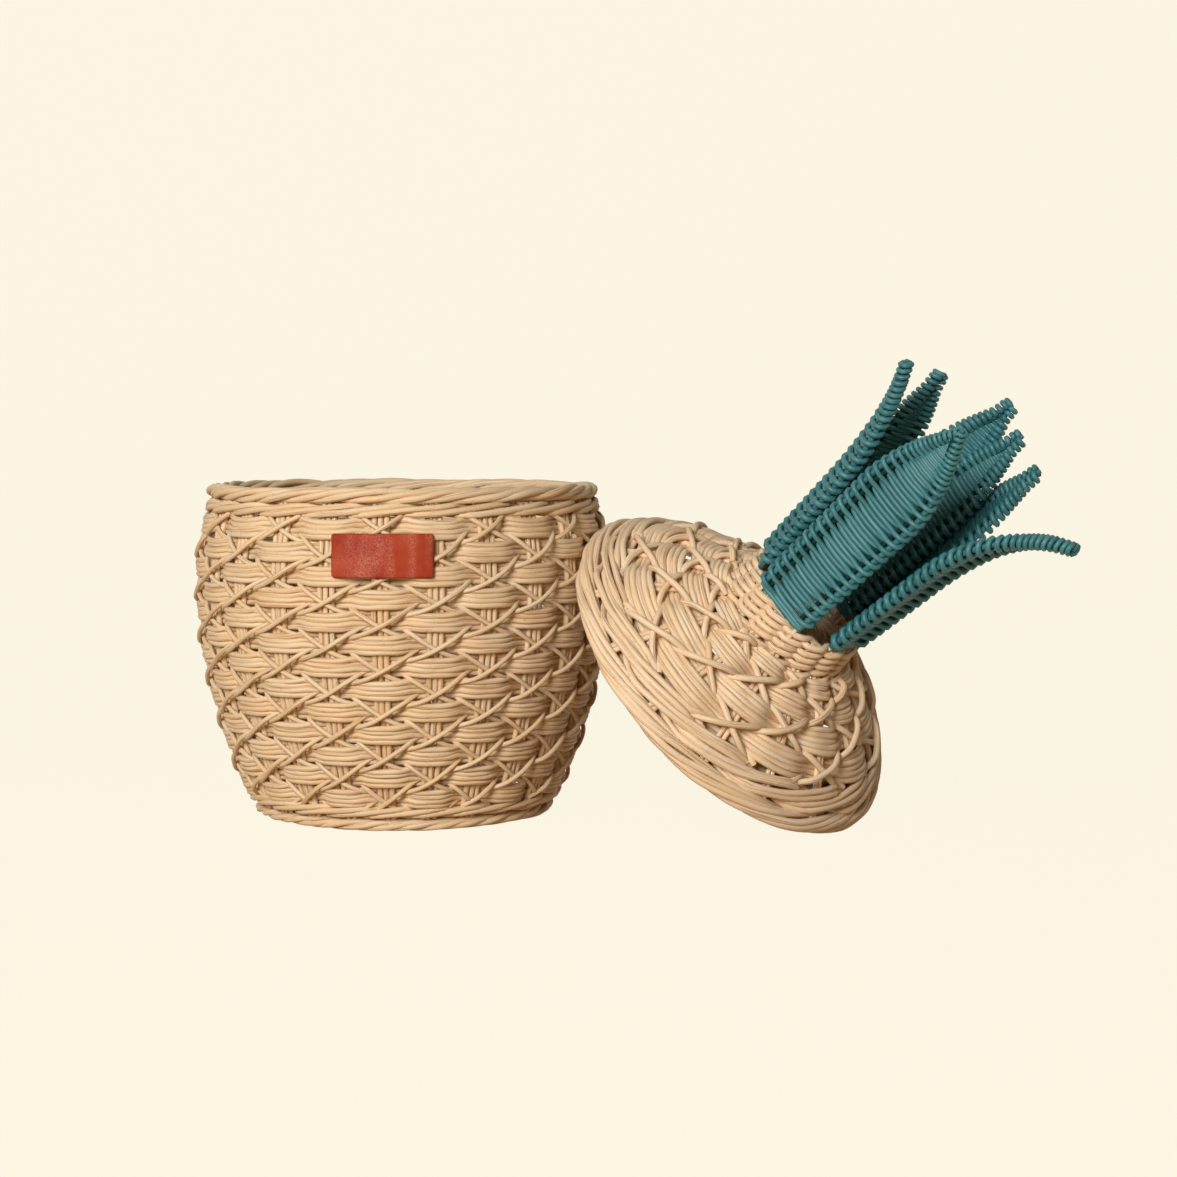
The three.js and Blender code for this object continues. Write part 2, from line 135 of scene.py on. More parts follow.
# Sizes of the basket's weave, in metres

STAKE_SPACING = 0.0042  # between the middles of a stake's three canes
STAGGER = 0.0006  # of every other cane of a row, in and out between stakes
ROW_SWING = 0.0038  # of a row, out over a stake and in behind the next
ROW_SAG = 0.0014  # of a float's middle
ROW_LIFT = 0.4  # of a row behind a stake, as a share of its sag
ROW_CANE_PITCH = 0.0035
ROW_SPREADS = (1.1, 0.92)  # of its canes, behind a stake and over one, as shares of their pitch

LASHING_ENDS = (0.0165, 0.2225)  # heights
LASHING_TUCK = 0.008  # height over which an end goes in between the rows
TUCKED = 0.3  # how far out an end then is, as a share
LASHING_DROP = 0.00195  # of the crossings below the rows' middles
LASHING_DIP = 0.0023  # of the strand in front at a crossing, below the one behind
LASHING_TWIST = 0.00175  # of the two strands, up and down between crossings
LASHING_LIFT = 0.0032  # of the crossings next to the rim
# How far out a strand is between crossings, how much more in front and how much less behind
RIGHT_LASHING = (0.0023, 0.0040, 0.0066)
LEFT_LASHING = (0.0009, 0.0028, 0.0074)

# Under the patch the lashings lie close to the stakes: how far past it, and over what width
TAG_SIDE_MARGIN = (0.008, 0.006)
TAG_TOP_MARGIN = (0.006, 0.004)

WALE_RODS = 3
# Of a wale's rods: their climb, and how far they pass in front of the stakes and behind them
FOOT_WALE_SHAPE = (0.0034, 0.0041, 0.0042)
RIM_WALE_SHAPE = (0.0040, 0.0042, 0.0043)
# Of a rolled border: half its width and half its height, to the middles of its strands
FOOT_BORDER_SECTION = (0.0040, 0.0022)
RIM_BORDER_SECTION = (0.0042, 0.0031)
BORDER_STRANDS = 5
BORDER_TURNS = 7
ROPE_SLIP = 0.18  # of a rope's strands along the ring, as a share of the space between two

SPOKE_STARTS = (0.004, 0.016)  # of every other spoke
SPOKE_TUCK = 0.003  # of the spokes into the foot border
RING_TUCK = 0.005  # of the base's rings into the foot border
RING_START = 0.002
RING_SPACING = 1.12  # in thicknesses of a ring's cane
RING_TWIST = (0.0006, 0.0014)  # of its two strands, in and out and up and down

TAG_CORNER = 0.0022
TAG_EDGE = 0.0012  # width of the rounded edge
TAG_ROUNDING = 0.0006
TAG_STAND_OFF = 0.0004  # of the wavy patch from the CAD's smooth one
# Of the patch's waves: their height, how fast they turn across and up the patch, and their start
TAG_WAVES = ((0.00055, 230, 60, 1.2), (0.0002, 90, 300, 0))

# Sizes of the lid's weave, in metres

LID_RIM_SECTION = (0.0050, 0.0050)
LID_RIM_STRANDS = 8
LID_RIM_TURNS = 4

LID_STAKE_APART = 0.0019  # each cane of a pair from their middle
LID_STAKE_START = -0.006  # distance up the dome
LID_STAKE_END = 0.002  # distance short of the dome's top
# Radius and height of the stakes where they turn up, and at the foot and top of the collar
LID_STAKE_BEND = (0.0505, 0.0655)
LID_STAKE_FOOT = (0.0470, 0.0675)
LID_STAKE_TOP = (0.0442, 0.0885)

DOME_SWING = 0.0037
DOME_BOW = 0.0012  # of a float's middle down the dome
DOME_SQUEEZE = 0.06  # of a row's canes between stakes, as a share of their pitch
DOME_LASHING_ENDS = (0.017, 0.0915)  # distances up the dome
DOME_LASHING_TUCK = 0.006
DOME_LASHING_DIP = 0.001
DOME_LASHING_TWIST = 0.0017
RIGHT_DOME_LASHING = (0.0014, 0.0058, 0.0058)
LEFT_DOME_LASHING = (-0.0014, 0.0053, 0.0053)
DOME_WALE_SHAPE = (0.0088, 0.0046, 0.0040)
DOME_WALE_PAIR = 0.0045  # between two of its rods that run side by side

LININGS = ((-0.001, 0.0440), (0.0760, 0.0900))  # distances up the dome
LINING_DEPTH = 0.0086
LINING_SPACING = 0.96  # in thicknesses of its cane
CROWN_COIL = (0.002, 0.0455, 0.0625)  # inner radius, outer radius and height
COIL_SPACING = 0.98  # in thicknesses of its cane

COLLAR_ROWS = 5
COLLAR_DROP = 0.0040  # of the twining's foot below the CAD's
COLLAR_SHORT = 0.0003  # of its top below the CAD's
COLLAR_INSET = 0.0040  # of its middle from the CAD's outer side, past the first row
COLLAR_SWING = 0.0032
COLLAR_TWIST = 0.0017

# Sizes of the leaves. Places along a leaf are shares of its length.

TAPER_START = 0.5
TIP_THICKNESS = 0.8  # of a leaf's canes, as a share
FOOT_BAR = -0.004
LOW_BAR = 0.014
LOW_BAR_WIDTH = 0.97  # as a share of the hoop's
LOW_BAR_THICKNESS = 0.85  # as a share of the hoop's
RIB_ENDS = (0.014, 0.95)
RIB_INSET = 0.0046
WINDING_ENDS = (0.024, 0.985)
TIGHTENING = (0.66, 0.18)  # where the turns begin to close up, and over what length
KNOB = (0.9, 0.1)  # where the wound point begins, and its length
# Of a winding: its pitch at the foot and at the tip, its sag, and half the width of its knob
FRONT_WINDING = (0.0073, 0.0034, 0.0025, 0.0)
WINDING = (0.0072, 0.0039, 0.0020, 0.0030)
STUB_SPREADS = (0.55, 0.95)  # across the leaf, as shares of half its foot
STUB_ENDS = (0.012, -0.06)
STUB_LEAN = 0.0015
STUB_DEPTH = 0.001

# Body, slot and finish of each kind of cane

BASKET_CANE = ("basket", "cane", "natural_cane")
LID_CANE = ("lid", "lid_cane", "lid_natural_cane")
LEAF_CANE = ("lid", "teal_cane", "teal_dyed_cane")
# The ribs' finish is painted shade: a near-black teal that darkens the leaves' slots
RIB_CANE = ("lid", "teal_cane", "painted_shade_teal_cane")

# Roughness and gloss of the finishes

CANE_SHEEN = (0.52, 0.35)
TEAL_SHEEN = (0.46, 0.45)
RIB_SHEEN = (0.6, 0.2)
LEATHER_GLOSS = 0.25

# Stage

CAMERA_LENS = 76.99  # millimetres
CAMERA_SENSOR = 36  # millimetres
CAMERA_PLACE = (0.136, -1.85, 0.290)
CAMERA_TILT = 0.0686  # radians down from level
FLOOR_ENDS = (-6.0, 1.2)
SWEEP_SIDE = 7.0  # half the width of the floor
SWEEP_TOP = 7.0
CREAM = srgb(255, 250, 231)
PAPER = srgb(186, 148, 98)
PAPER_GLOW = 0.95  # how much of the paper's look is its own cream and not the lamps' light
ROOM_TINT = (1, 0.82, 0.6, 1)
ROOM_STRENGTH = 0.08
# Place, size and power of each lamp
KEY_LAMP = ((-0.95, -2.85, 1.35), 1.2, 102)
FILL_LAMP = ((1.6, -2.9, 1.6), 2.0, 1)
LAMP_AIM = (0.1, 0, 0.15)


# Node trees


class Wire:
    """A socket of a node tree. Arithmetic adds Math nodes, and add() adds any other node."""

    def __init__(self, tree, socket=None):
        self.tree = tree
        self.socket = socket

    def add(self, kind, settings=None, inputs=None, output=0):
        node = self.tree.nodes.new(kind)
        for name, value in (settings or {}).items():
            setattr(node, name, value)
        for name, value in (inputs or {}).items():
            if isinstance(value, Wire):
                self.tree.links.new(value.socket, node.inputs[name])
            else:
                node.inputs[name].default_value = value
        return Wire(self.tree, node.outputs[output] if node.outputs else None)

    def other(self, output):
        return Wire(self.tree, self.socket.node.outputs[output])

    def math(self, operation, *values):
        inputs = dict(enumerate((self, *values)))
        return self.add("ShaderNodeMath", {"operation": operation}, inputs)

    def __add__(self, value):
        return self.math("ADD", value)

    __radd__ = __add__

    def __mul__(self, value):
        return self.math("MULTIPLY", value)

    __rmul__ = __mul__

    def __truediv__(self, value):
        return self.math("DIVIDE", value)

    def __rtruediv__(self, value):
        return self.add("ShaderNodeMath", {"operation": "DIVIDE"}, {0: value, 1: self})

    def vector(self, operation, *values, scale=None):
        inputs = dict(enumerate((self, *values)))
        if scale is not None:
            inputs["Scale"] = scale
        return self.add("ShaderNodeVectorMath", {"operation": operation}, inputs)

    def blend(self, first, second, kind="MIX"):
        """Mixes two colours by this wire."""
        settings = {"data_type": "RGBA", "blend_type": kind}
        return self.add("ShaderNodeMix", settings, {0: self, 6: first, 7: second}, 2)

    def spread(self, low, high, to_low=0.0, to_high=1.0):
        """Stretches the values between low and high over another range."""
        inputs = {0: self, 1: low, 2: high, 3: to_low, 4: to_high}
        return self.add("ShaderNodeMapRange", {"clamp": True}, inputs)

    def noise(self, scale, detail=2.0, w=None, output=0):
        settings = {"noise_dimensions": "4D" if w is not None else "3D"}
        inputs = {"Vector": self, "Scale": scale, "Detail": detail}
        if w is not None:
            inputs["W"] = w
        return self.add("ShaderNodeTexNoise", settings, inputs, output)


def opaque(colour):
    return (*colour, 1.0)


# Finishes


def cleared_wire(tree):
    """Empties a node tree and gives a wire to build it from."""
    tree.nodes.clear()
    return Wire(tree)


def start_material(name):
    """A new material, a wire to build it from, and its surface shader."""
    material = bpy.data.materials.new(name)
    material.use_nodes = True
    wire = cleared_wire(material.node_tree)
    shader = wire.add("ShaderNodeBsdfPrincipled")
    wire.add("ShaderNodeOutputMaterial", inputs={"Surface": shader})
    return material, wire, shader.socket.node


def cane_finish(name, body, pale, line, roughness, gloss):
    """Split cane: long fibres, a few dark lines and specks, and a tint for each cane."""
    material, wire, shader = start_material(name)
    section = wire.add("ShaderNodeAttribute", {"attribute_name": "section"}, output="Vector")
    run = wire.add("ShaderNodeAttribute", {"attribute_name": "run"}, output="Fac")
    tint = wire.add("ShaderNodeAttribute", {"attribute_name": "tint"}, output="Fac")
    parts = section.add("ShaderNodeSeparateXYZ", inputs={0: section})
    across_x, across_y = parts, parts.other(1)
    seed = tint * 61.0

    def along(around, length):
        places = {0: across_x * around, 1: across_y * around, 2: run * length}
        return wire.add("ShaderNodeCombineXYZ", inputs=places)

    fibres = along(around=4.5, length=45.0).noise(1.0, detail=3.0, w=seed)
    drift = along(around=0.35, length=16.0).noise(1.0, w=seed + 7.0)
    lines = along(around=3.0, length=22.0).noise(1.0, w=seed + 19.0)
    specks = along(around=2.2, length=330.0).noise(1.0, w=seed + 31.0)
    shade = fibres.spread(0.36, 0.64) * 0.4 + drift.spread(0.36, 0.64) * 0.4 + tint * 0.2
    colour = shade.blend(opaque(body), opaque(pale))
    colour = (lines.spread(0.56, 0.68) * 0.6).blend(colour, opaque(line))
    colour = (specks.spread(0.64, 0.74) * 0.5).blend(colour, opaque(line))
    wire.tree.links.new(colour.socket, shader.inputs["Base Color"])
    rough = fibres.spread(0.3, 0.7, roughness + 0.08, roughness - 0.06)
    wire.tree.links.new(rough.socket, shader.inputs["Roughness"])
    height = {"Height": fibres + lines * 0.6, "Strength": 0.55, "Distance": 0.00022}
    bump = wire.add("ShaderNodeBump", inputs=height)
    wire.tree.links.new(bump.socket, shader.inputs["Normal"])
    shader.inputs["Specular IOR Level"].default_value = gloss
    return material


def leather_finish(name, body, pale, dark):
    """Rust leather: soft mottling, a fine grain and pale bands of painted sheen."""
    material, wire, shader = start_material(name)
    place = wire.add("ShaderNodeTexCoord", output="Object")
    cloud = place.noise(70.0, detail=3.0)
    # Broad bands, broken up by the speckle, where the pale colour paints a sheen
    painted_sheen_bands = place.vector("MULTIPLY", (75.0, 0.0, 24.0)).noise(1.0, detail=1.0)
    speckle = place.vector("ADD", (3.1, 1.7, 0.4)).noise(950.0, detail=3.0)
    patch = painted_sheen_bands.spread(0.40, 0.66) * speckle.spread(0.36, 0.62)
    pores = {"Vector": place, "Scale": 1500.0, "Randomness": 1.0}
    grain = wire.add("ShaderNodeTexVoronoi", {"feature": "DISTANCE_TO_EDGE"}, pores)
    colour = cloud.spread(0.35, 0.65).blend(opaque(dark), opaque(body))
    # Painted sheen: the pale colour laid over the bands
    colour = (patch * 0.75).blend(colour, opaque(pale))
    colour = (grain.spread(0.0, 0.12, 0.35, 0.0)).blend(colour, opaque(dark))
    wire.tree.links.new(colour.socket, shader.inputs["Base Color"])
    rough = patch.spread(0.0, 1.0, 0.6, 0.48)
    wire.tree.links.new(rough.socket, shader.inputs["Roughness"])
    height = grain.spread(0.0, 0.15) + speckle * 0.8
    shape = {"Height": height, "Strength": 0.5, "Distance": 0.0002}
    bump = wire.add("ShaderNodeBump", inputs=shape)
    wire.tree.links.new(bump.socket, shader.inputs["Normal"])
    shader.inputs["Specular IOR Level"].default_value = LEATHER_GLOSS
    return material


def finish_named(name):
    """The material of that name, made on its first use."""
    made = bpy.data.materials.get(name)
    if made:
        return made
    shades = bpy.context.scene.pineapple_colours
    natural = (shades.cane, shades.cane_pale, shades.cane_line)
    lid_natural = (shades.lid_cane, shades.lid_cane_pale, shades.cane_line)
    canes = {
        "natural_cane": (*natural, *CANE_SHEEN),
        "lid_natural_cane": (*lid_natural, *CANE_SHEEN),
        "teal_dyed_cane": (shades.teal, shades.teal_pale, shades.teal_deep, *TEAL_SHEEN),
        # Painted shade for the ribs: the darkest teal, with the deep teal as its lighter colour
        "painted_shade_teal_cane": (shades.teal_painted_shade, shades.teal_deep, shades.teal_painted_shade, *RIB_SHEEN),
    }
    if name in canes:
        return cane_finish(name, *canes[name])
    return leather_finish(name, shades.leather, shades.leather_painted_sheen, shades.leather_deep)


# Weaving


def cane_tree():
    """Geometry nodes that turn centre lines into round canes with fibre attributes."""
    made = bpy.data.node_groups.get("Canes along paths")
    if made:
        return made
    tree = bpy.data.node_groups.new("Canes along paths", "GeometryNodeTree")
    face = tree.interface
    face.new_socket("Canes", in_out="OUTPUT", socket_type="NodeSocketGeometry")
    face.new_socket("Paths", in_out="INPUT", socket_type="NodeSocketGeometry")
    sockets = (
        ("Sides", "NodeSocketInt", 8),
        ("Waver", "NodeSocketFloat", 0.0003),
        ("Waver Length", "NodeSocketFloat", 0.025),
        ("Seed", "NodeSocketFloat", 1.0),
    )
    for name, kind, value in sockets:
        face.new_socket(name, in_out="INPUT", socket_type=kind).default_value = value
    face.new_socket("Finish", in_out="INPUT", socket_type="NodeSocketMaterial")

    wire = Wire(tree)
    paths = wire.add("NodeGroupInput")
    sides, waver, length, seed, finish = (paths.other(n) for n in range(1, 6))
    tint = named_value(wire, "tint")
    radius = named_value(wire, "radius")
    place = wire.add("GeometryNodeInputPosition")
    scaled = place.vector("SCALE", scale=1.0 / length)
    wobble = scaled.noise(1.0, detail=1.0, w=tint * 97.0 + seed, output=1)
    centred = wobble.vector("SUBTRACT", (0.5, 0.5, 0.5))
    shift = centred.vector("SCALE", scale=waver * 4.0)
    moved = wire.add("GeometryNodeSetPosition", inputs={"Geometry": paths, "Offset": shift})
    curves = wire.add("GeometryNodeMeshToCurve", inputs={"Mesh": moved})
    travelled = wire.add("GeometryNodeSplineParameter", output="Length")
    stored = {"data_type": "FLOAT", "domain": "POINT"}
    values = {"Geometry": curves, "Name": "run", "Value": travelled}
    marked = wire.add("GeometryNodeStoreNamedAttribute", stored, values)
    circle = wire.add("GeometryNodeCurvePrimitiveCircle", inputs={0: sides, "Radius": 1.0})
    stored = {"data_type": "FLOAT_VECTOR", "domain": "POINT"}
    values = {"Geometry": circle, "Name": "section", "Value": place}
    profile = wire.add("GeometryNodeStoreNamedAttribute", stored, values)
    skin = {"Curve": marked, "Profile Curve": profile, "Scale": radius, "Fill Caps": True}
    canes = wire.add("GeometryNodeCurveToMesh", inputs=skin)
    smooth = wire.add("GeometryNodeSetShadeSmooth", inputs={"Geometry": canes})
    coloured = {"Geometry": smooth, "Material": finish}
    dressed = wire.add("GeometryNodeSetMaterial", inputs=coloured)
    real = wire.add("GeometryNodeRealizeInstances", inputs={"Geometry": dressed})
    wire.add("NodeGroupOutput", inputs={0: real})
    return tree


def named_value(wire, name):
    settings = {"data_type": "FLOAT"}
    return wire.add("GeometryNodeInputNamedAttribute", settings, {"Name": name})


class Guides:
    """Centre lines of canes, each with its thickness and a tint of its own."""

    def __init__(self, seed):
        self.random = Random(seed)
        self.seed = seed
        self.points = []
        self.edges = []
        self.radii = []
        self.tints = []

    def add(self, line, diameter, closed=False, uneven=0.04, taper=None):
        """Adds a cane. Taper holds a factor for its thickness at each point."""
        first = len(self.points)
        last = first + len(line) - 1
        self.points.extend(line)
        self.edges.extend((spot, spot + 1) for spot in range(first, last))
        if closed:
            self.edges.append((last, first))
        radius = diameter / 2 * (1 + self.random.uniform(-uneven, uneven))
        self.radii.extend(radius * factor for factor in taper or [1.0] * len(line))
        self.tints.extend([self.random.random()] * len(line))

    def mesh(self, name):
        made = bpy.data.meshes.new(name)
        made.from_pydata([tuple(point) for point in self.points], self.edges, [])
        made.attributes.new("radius", "FLOAT", "POINT").data.foreach_set("value", self.radii)
        made.attributes.new("tint", "FLOAT", "POINT").data.foreach_set("value", self.tints)
        return made


def set_inputs(modifier, values):
    """Sets a geometry nodes modifier's inputs by their names' identifiers."""
    for item in modifier.node_group.interface.items_tree:
        if item.in_out == "INPUT" and item.name in values:
            modifier[item.identifier] = values[item.name]


def weave(name, guides, body, slot, finish, nodes=(), sides=8, waver=0.0005, length=0.03):
    """Turns centre lines into one piece of woven cane that rides on a body."""
    piece = bpy.data.objects.new(name, guides.mesh(name + "_paths"))
    bpy.context.scene.collection.objects.link(piece)
    modifier = piece.modifiers.new("Canes", "NODES")
    modifier.node_group = cane_tree()
    values = {"Sides": sides, "Waver": waver, "Waver Length": length}
    set_inputs(modifier, values | {"Seed": float(guides.seed), "Finish": finish_named(finish)})
    depsgraph = bpy.context.evaluated_depsgraph_get()
    woven = bpy.data.meshes.new_from_object(
        piece.evaluated_get(depsgraph), preserve_all_data_layers=True, depsgraph=depsgraph
    )
    paths = piece.data
    piece.modifiers.remove(modifier)
    piece.data = woven
    woven.name = name
    bpy.data.meshes.remove(paths)
    settle(piece, body, slot, nodes)


def settle(piece, body, slot, nodes=()):
    """Puts a finished piece on its body, in place of the CAD nodes that it stands for."""
    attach(piece, body)
    if nodes:
        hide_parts(*nodes)


def ease(value):
    """0 below 0, 1 above 1, and a smooth step between."""
    share = min(1.0, max(0.0, value))
    return share * share * (3 - 2 * share)


def lerp(first, second, share):
    return first + (second - first) * share


# Basket


def wall_radius(height):
    """Radius of the stakes' middle line at a height."""
    if height > BELLY_HEIGHT:
        above = (height - BELLY_HEIGHT) / (STAKE_TOP - BELLY_HEIGHT)
        return BELLY_RADIUS - (BELLY_RADIUS - NECK_RADIUS) * above * above
    below = max(height - FOOT_HEIGHT, 0) / (BELLY_HEIGHT - FOOT_HEIGHT)
    return FOOT_RADIUS + (BELLY_RADIUS - FOOT_RADIUS) * sin(below * pi / 2) ** FOOT_ROUNDING


def stake_turn(place):
    """Turn of a place round the wall, counted in stakes."""
    return FIRST_STAKE + place * 2 * pi / STAKES


def on_wall(turn, out, height):
    return Vector((out * sin(turn), -out * cos(turn), height))


def over_under(place, row):
    """1 where a row floats over a stake, -1 where it passes behind."""
    return cos(pi * (place + row))


def stake_lines(guides, stake, diameter):
    """Three canes side by side, from the foot to the rim."""
    turn = stake_turn(stake)
    steps = 28
    for side in (-1, 0, 1):
        line = []
        for step in range(steps + 1):
            height = lerp(STAKE_FOOT, STAKE_TOP, step / steps)
            radius = wall_radius(height)
            line.append(on_wall(turn + side * STAKE_SPACING / radius, radius, height))
        guides.add(line, diameter)


def places_round(stakes, steps):
    """Places round a ring, counted in stakes, with so many steps from each to the next."""
    return [step / steps for step in range(stakes * steps)]


def row_lines(guides, row, diameter, canes):
    """One row: canes side by side that float over every other stake."""
    middle = FIRST_ROW + row * ROW_PITCH
    for cane in range(canes):
        stagger = STAGGER if cane % 2 else -STAGGER
        rise = (cane - (canes - 1) / 2) * ROW_CANE_PITCH
        line = []
        for place in places_round(STAKES, 10):
            wave = over_under(place, row)
            bend = sin(pi / 2 * wave)
            sag = ROW_SAG * max(bend, -ROW_LIFT * bend)
            height = middle - sag + rise * lerp(*ROW_SPREADS, (wave + 1) / 2)
            out = ROW_SWING * bend + stagger * (1 - wave * wave)
            line.append(on_wall(stake_turn(place), wall_radius(height) + out, height))
        guides.add(line, diameter, closed=True)


def lashing_lines(guides, start, rises, diameter):
    """A twisting pair of canes that climbs one row for each stake, crossing between floats."""
    steps = 10
    depths = RIGHT_LASHING if rises else LEFT_LASHING
    for strand in (1, -1):
        line = []
        for step in range(-2 * steps, (ROWS + 1) * steps + 1):
            row = step / steps
            place = (start + row) if rises else (start - row)
            wave = strand * cos(pi * place)
            twist = strand * LASHING_TWIST * sin(pi * place) * (1 if rises else -1)
            lift = LASHING_LIFT * ease(row - ROWS + 2)
            height = FIRST_ROW + row * ROW_PITCH - LASHING_DROP - LASHING_DIP * wave + twist + lift
            if not LASHING_ENDS[0] <= height <= LASHING_ENDS[1]:
                continue
            out = strand_depth(wave, depths) * tuck(height, LASHING_ENDS, LASHING_TUCK)
            covered = under_tag(stake_turn(place), height)
            out = lerp(out, min(out, TAG_ROOM - diameter / 2), covered)
            line.append(on_wall(stake_turn(place), wall_radius(height) + out, height))
        guides.add(line, diameter)


def strand_depth(wave, depths):
    """How far out a strand of a lashing is, from its depth between crossings."""
    between, before, behind = depths
    return between + sin(pi / 2 * wave) * (before if wave > 0 else behind)


def tuck(spot, ends, reach):
    """Draws a lashing in towards the stakes near its ends."""
    foot, top = ends
    return lerp(TUCKED, 1, ease((spot - foot) / reach) * ease((top - spot) / reach))


def under_tag(turn, height):
    """1 where the wall lies behind the leather patch, and less towards a little past it."""
    across = remainder(turn - TAG_TURN, 2 * pi) * wall_radius(TAG_MIDDLE)
    beside = ease((TAG_WIDTH / 2 + TAG_SIDE_MARGIN[0] - abs(across)) / TAG_SIDE_MARGIN[1])
    above = TAG_HEIGHT / 2 + TAG_TOP_MARGIN[0] - abs(height - TAG_MIDDLE)
    return beside * ease(above / TAG_TOP_MARGIN[1])


def stroke(place, rods):
    """How far along and how far out a rod is that passes over all but one of each run of stakes."""
    share = place / rods
    share -= floor(share + 0.5)
    front = (rods - 1) / (2 * rods)
    if abs(share) <= front:
        return share / front, 1.0
    side = 1 if share > 0 else -1
    return side * (0.5 - abs(share)) / (0.5 - front), -1.0


def smooth_stroke(place, rods):
    """The same, rounded off over about a stake."""
    reach, count, falloff = 0.42, 7, 0.8
    spots = [2 * n / (count - 1) - 1 for n in range(count)]
    samples = [stroke(place + reach * spot, rods) for spot in spots]
    weights = [1 + cos(pi * spot * falloff) for spot in spots]
    total = sum(weights)
    along = sum(sample[0] * weight for sample, weight in zip(samples, weights)) / total
    out = sum(sample[1] * weight for sample, weight in zip(samples, weights)) / total
    return along, out


def wale_lines(guides, place_at, stakes, diameter, climb, front, behind, pair=0.0):
    """Rods that twist round a ring of stakes: each passes over all but one, then behind it.

    Where pair is above 0, two rods run side by side, that far apart.
    """
    rods = WALE_RODS
    rounds = 1 if stakes % rods == 0 else rods
    rings = rods // rounds
    for number in range(rings * (2 if pair else 1)):
        rod = number % rings
        beside = pair / 2 if number >= rings else -pair / 2
        line = []
        for place in places_round(stakes * rounds, 12):
            along, side = smooth_stroke(place - rod - 0.5 * (rods % 2), rods)
            out = lerp(-behind, front, (side + 1) / 2)
            line.append(place_at(place, climb * along + beside, out))
        guides.add(line, diameter, closed=True)


def wall_wale_place(middle):
    """Places a rod round the wall by stakes, height above the middle, and distance out."""

    def place_at(place, rise, out):
        radius = wall_radius(middle + rise) + out
        return on_wall(stake_turn(place), radius, middle + rise)

    return place_at


def oval(semi, steps=360):
    """Points evenly spaced round an oval with these half sizes."""
    turns = [2 * pi * n / steps for n in range(steps)]
    raw = [(semi[0] * cos(turn), semi[1] * sin(turn)) for turn in turns]
    raw.append(raw[0])
    travelled = [0.0]
    for low, high in zip(raw, raw[1:]):
        travelled.append(travelled[-1] + hypot(high[0] - low[0], high[1] - low[1]))
    even = []
    index = 0
    for n in range(steps):
        target = travelled[-1] * n / steps
        while travelled[index + 1] < target:
            index += 1
        part = (target - travelled[index]) / (travelled[index + 1] - travelled[index])
        even.append([lerp(a, b, part) for a, b in zip(raw[index], raw[index + 1])])
    return even


def rope_lines(guides, place_at, ring, semi, strands, turns, diameter):
    """Strands twisted into a ring: its radius and height, and the half sizes of its section."""
    section = oval(semi)
    steps = 192
    for strand in range(strands):
        line = []
        slip = guides.random.uniform(-ROPE_SLIP, ROPE_SLIP) / strands
        for step in range(steps):
            lap = turns * step / steps + strand / strands + slip
            across, up = section[int(lap * len(section)) % len(section)]
            line.append(place_at(2 * pi * step / steps, ring[0] + across, ring[1] + up))
        guides.add(line, diameter, closed=True)


def base_lines(guides, spoke, ring):
    """The woven floor: spokes, and pairs of canes twined round them, ring by ring."""
    steps = 12
    for number in range(STAKES):
        start = SPOKE_STARTS[number % 2]
        spots = [lerp(start, BASE_RADIUS + SPOKE_TUCK, n / steps) for n in range(steps + 1)]
        line = [on_wall(stake_turn(number), spot, BASE_HEIGHT) for spot in spots]
        guides.add(line, spoke)
    pitch = ring * RING_SPACING
    in_and_out, up_and_down = RING_TWIST
    for number in range(int((BASE_RADIUS + RING_TUCK) / pitch)):
        radius = RING_START + pitch * (number + 0.5)
        for strand in (0, pi):
            line = []
            for place in places_round(STAKES, 6):
                angle = pi * (place + number) + strand
                height = BASE_HEIGHT + up_and_down * cos(angle)
                out = radius + in_and_out * sin(angle)
                line.append(on_wall(stake_turn(place), out, height))
            guides.add(line, ring, closed=True)


def tag_mesh(name):
    """A bare leather patch bent round the wall, with rounded corners and a soft wave."""
    made = bmesh.new()
    columns, rows = 56, 26
    sheets = []
    for layer in (0, 1):
        grid = []
        for row in range(rows + 1):
            line = []
            for column in range(columns + 1):
                across = (column / columns - 0.5) * TAG_WIDTH
                up = (row / rows - 0.5) * TAG_HEIGHT
                across, up = rounded(across, up, TAG_WIDTH / 2, TAG_HEIGHT / 2, TAG_CORNER)
                edge = min(TAG_WIDTH / 2 - abs(across), TAG_HEIGHT / 2 - abs(up))
                line.append(made.verts.new(tag_point(across, up, layer, edge)))
            grid.append(line)
        for low, high in zip(grid, grid[1:]):
            for n in range(columns):
                corners = (low[n], low[n + 1], high[n + 1], high[n])
                made.faces.new(corners if layer else corners[::-1])
        sheets.append(outline_of(grid))
    back, face = sheets
    for n, point in enumerate(back):
        after = (n + 1) % len(back)
        made.faces.new((point, back[after], face[after], face[n]))
    bmesh.ops.recalc_face_normals(made, faces=made.faces)
    mesh = bpy.data.meshes.new(name)
    made.to_mesh(mesh)
    made.free()
    mesh.shade_smooth()
    return mesh


def rounded(across, up, half_width, half_height, corner):
    """Draws a point in where it lies in the corner of a patch, so that the corner is round."""
    past_across = abs(across) - (half_width - corner)
    past_up = abs(up) - (half_height - corner)
    if past_across <= 0 or past_up <= 0:
        return across, up
    reach = max(past_across, past_up) / hypot(past_across, past_up)
    across_side = 1 if across > 0 else -1
    up_side = 1 if up > 0 else -1
    across = across_side * (half_width - corner + past_across * reach)
    return across, up_side * (half_height - corner + past_up * reach)


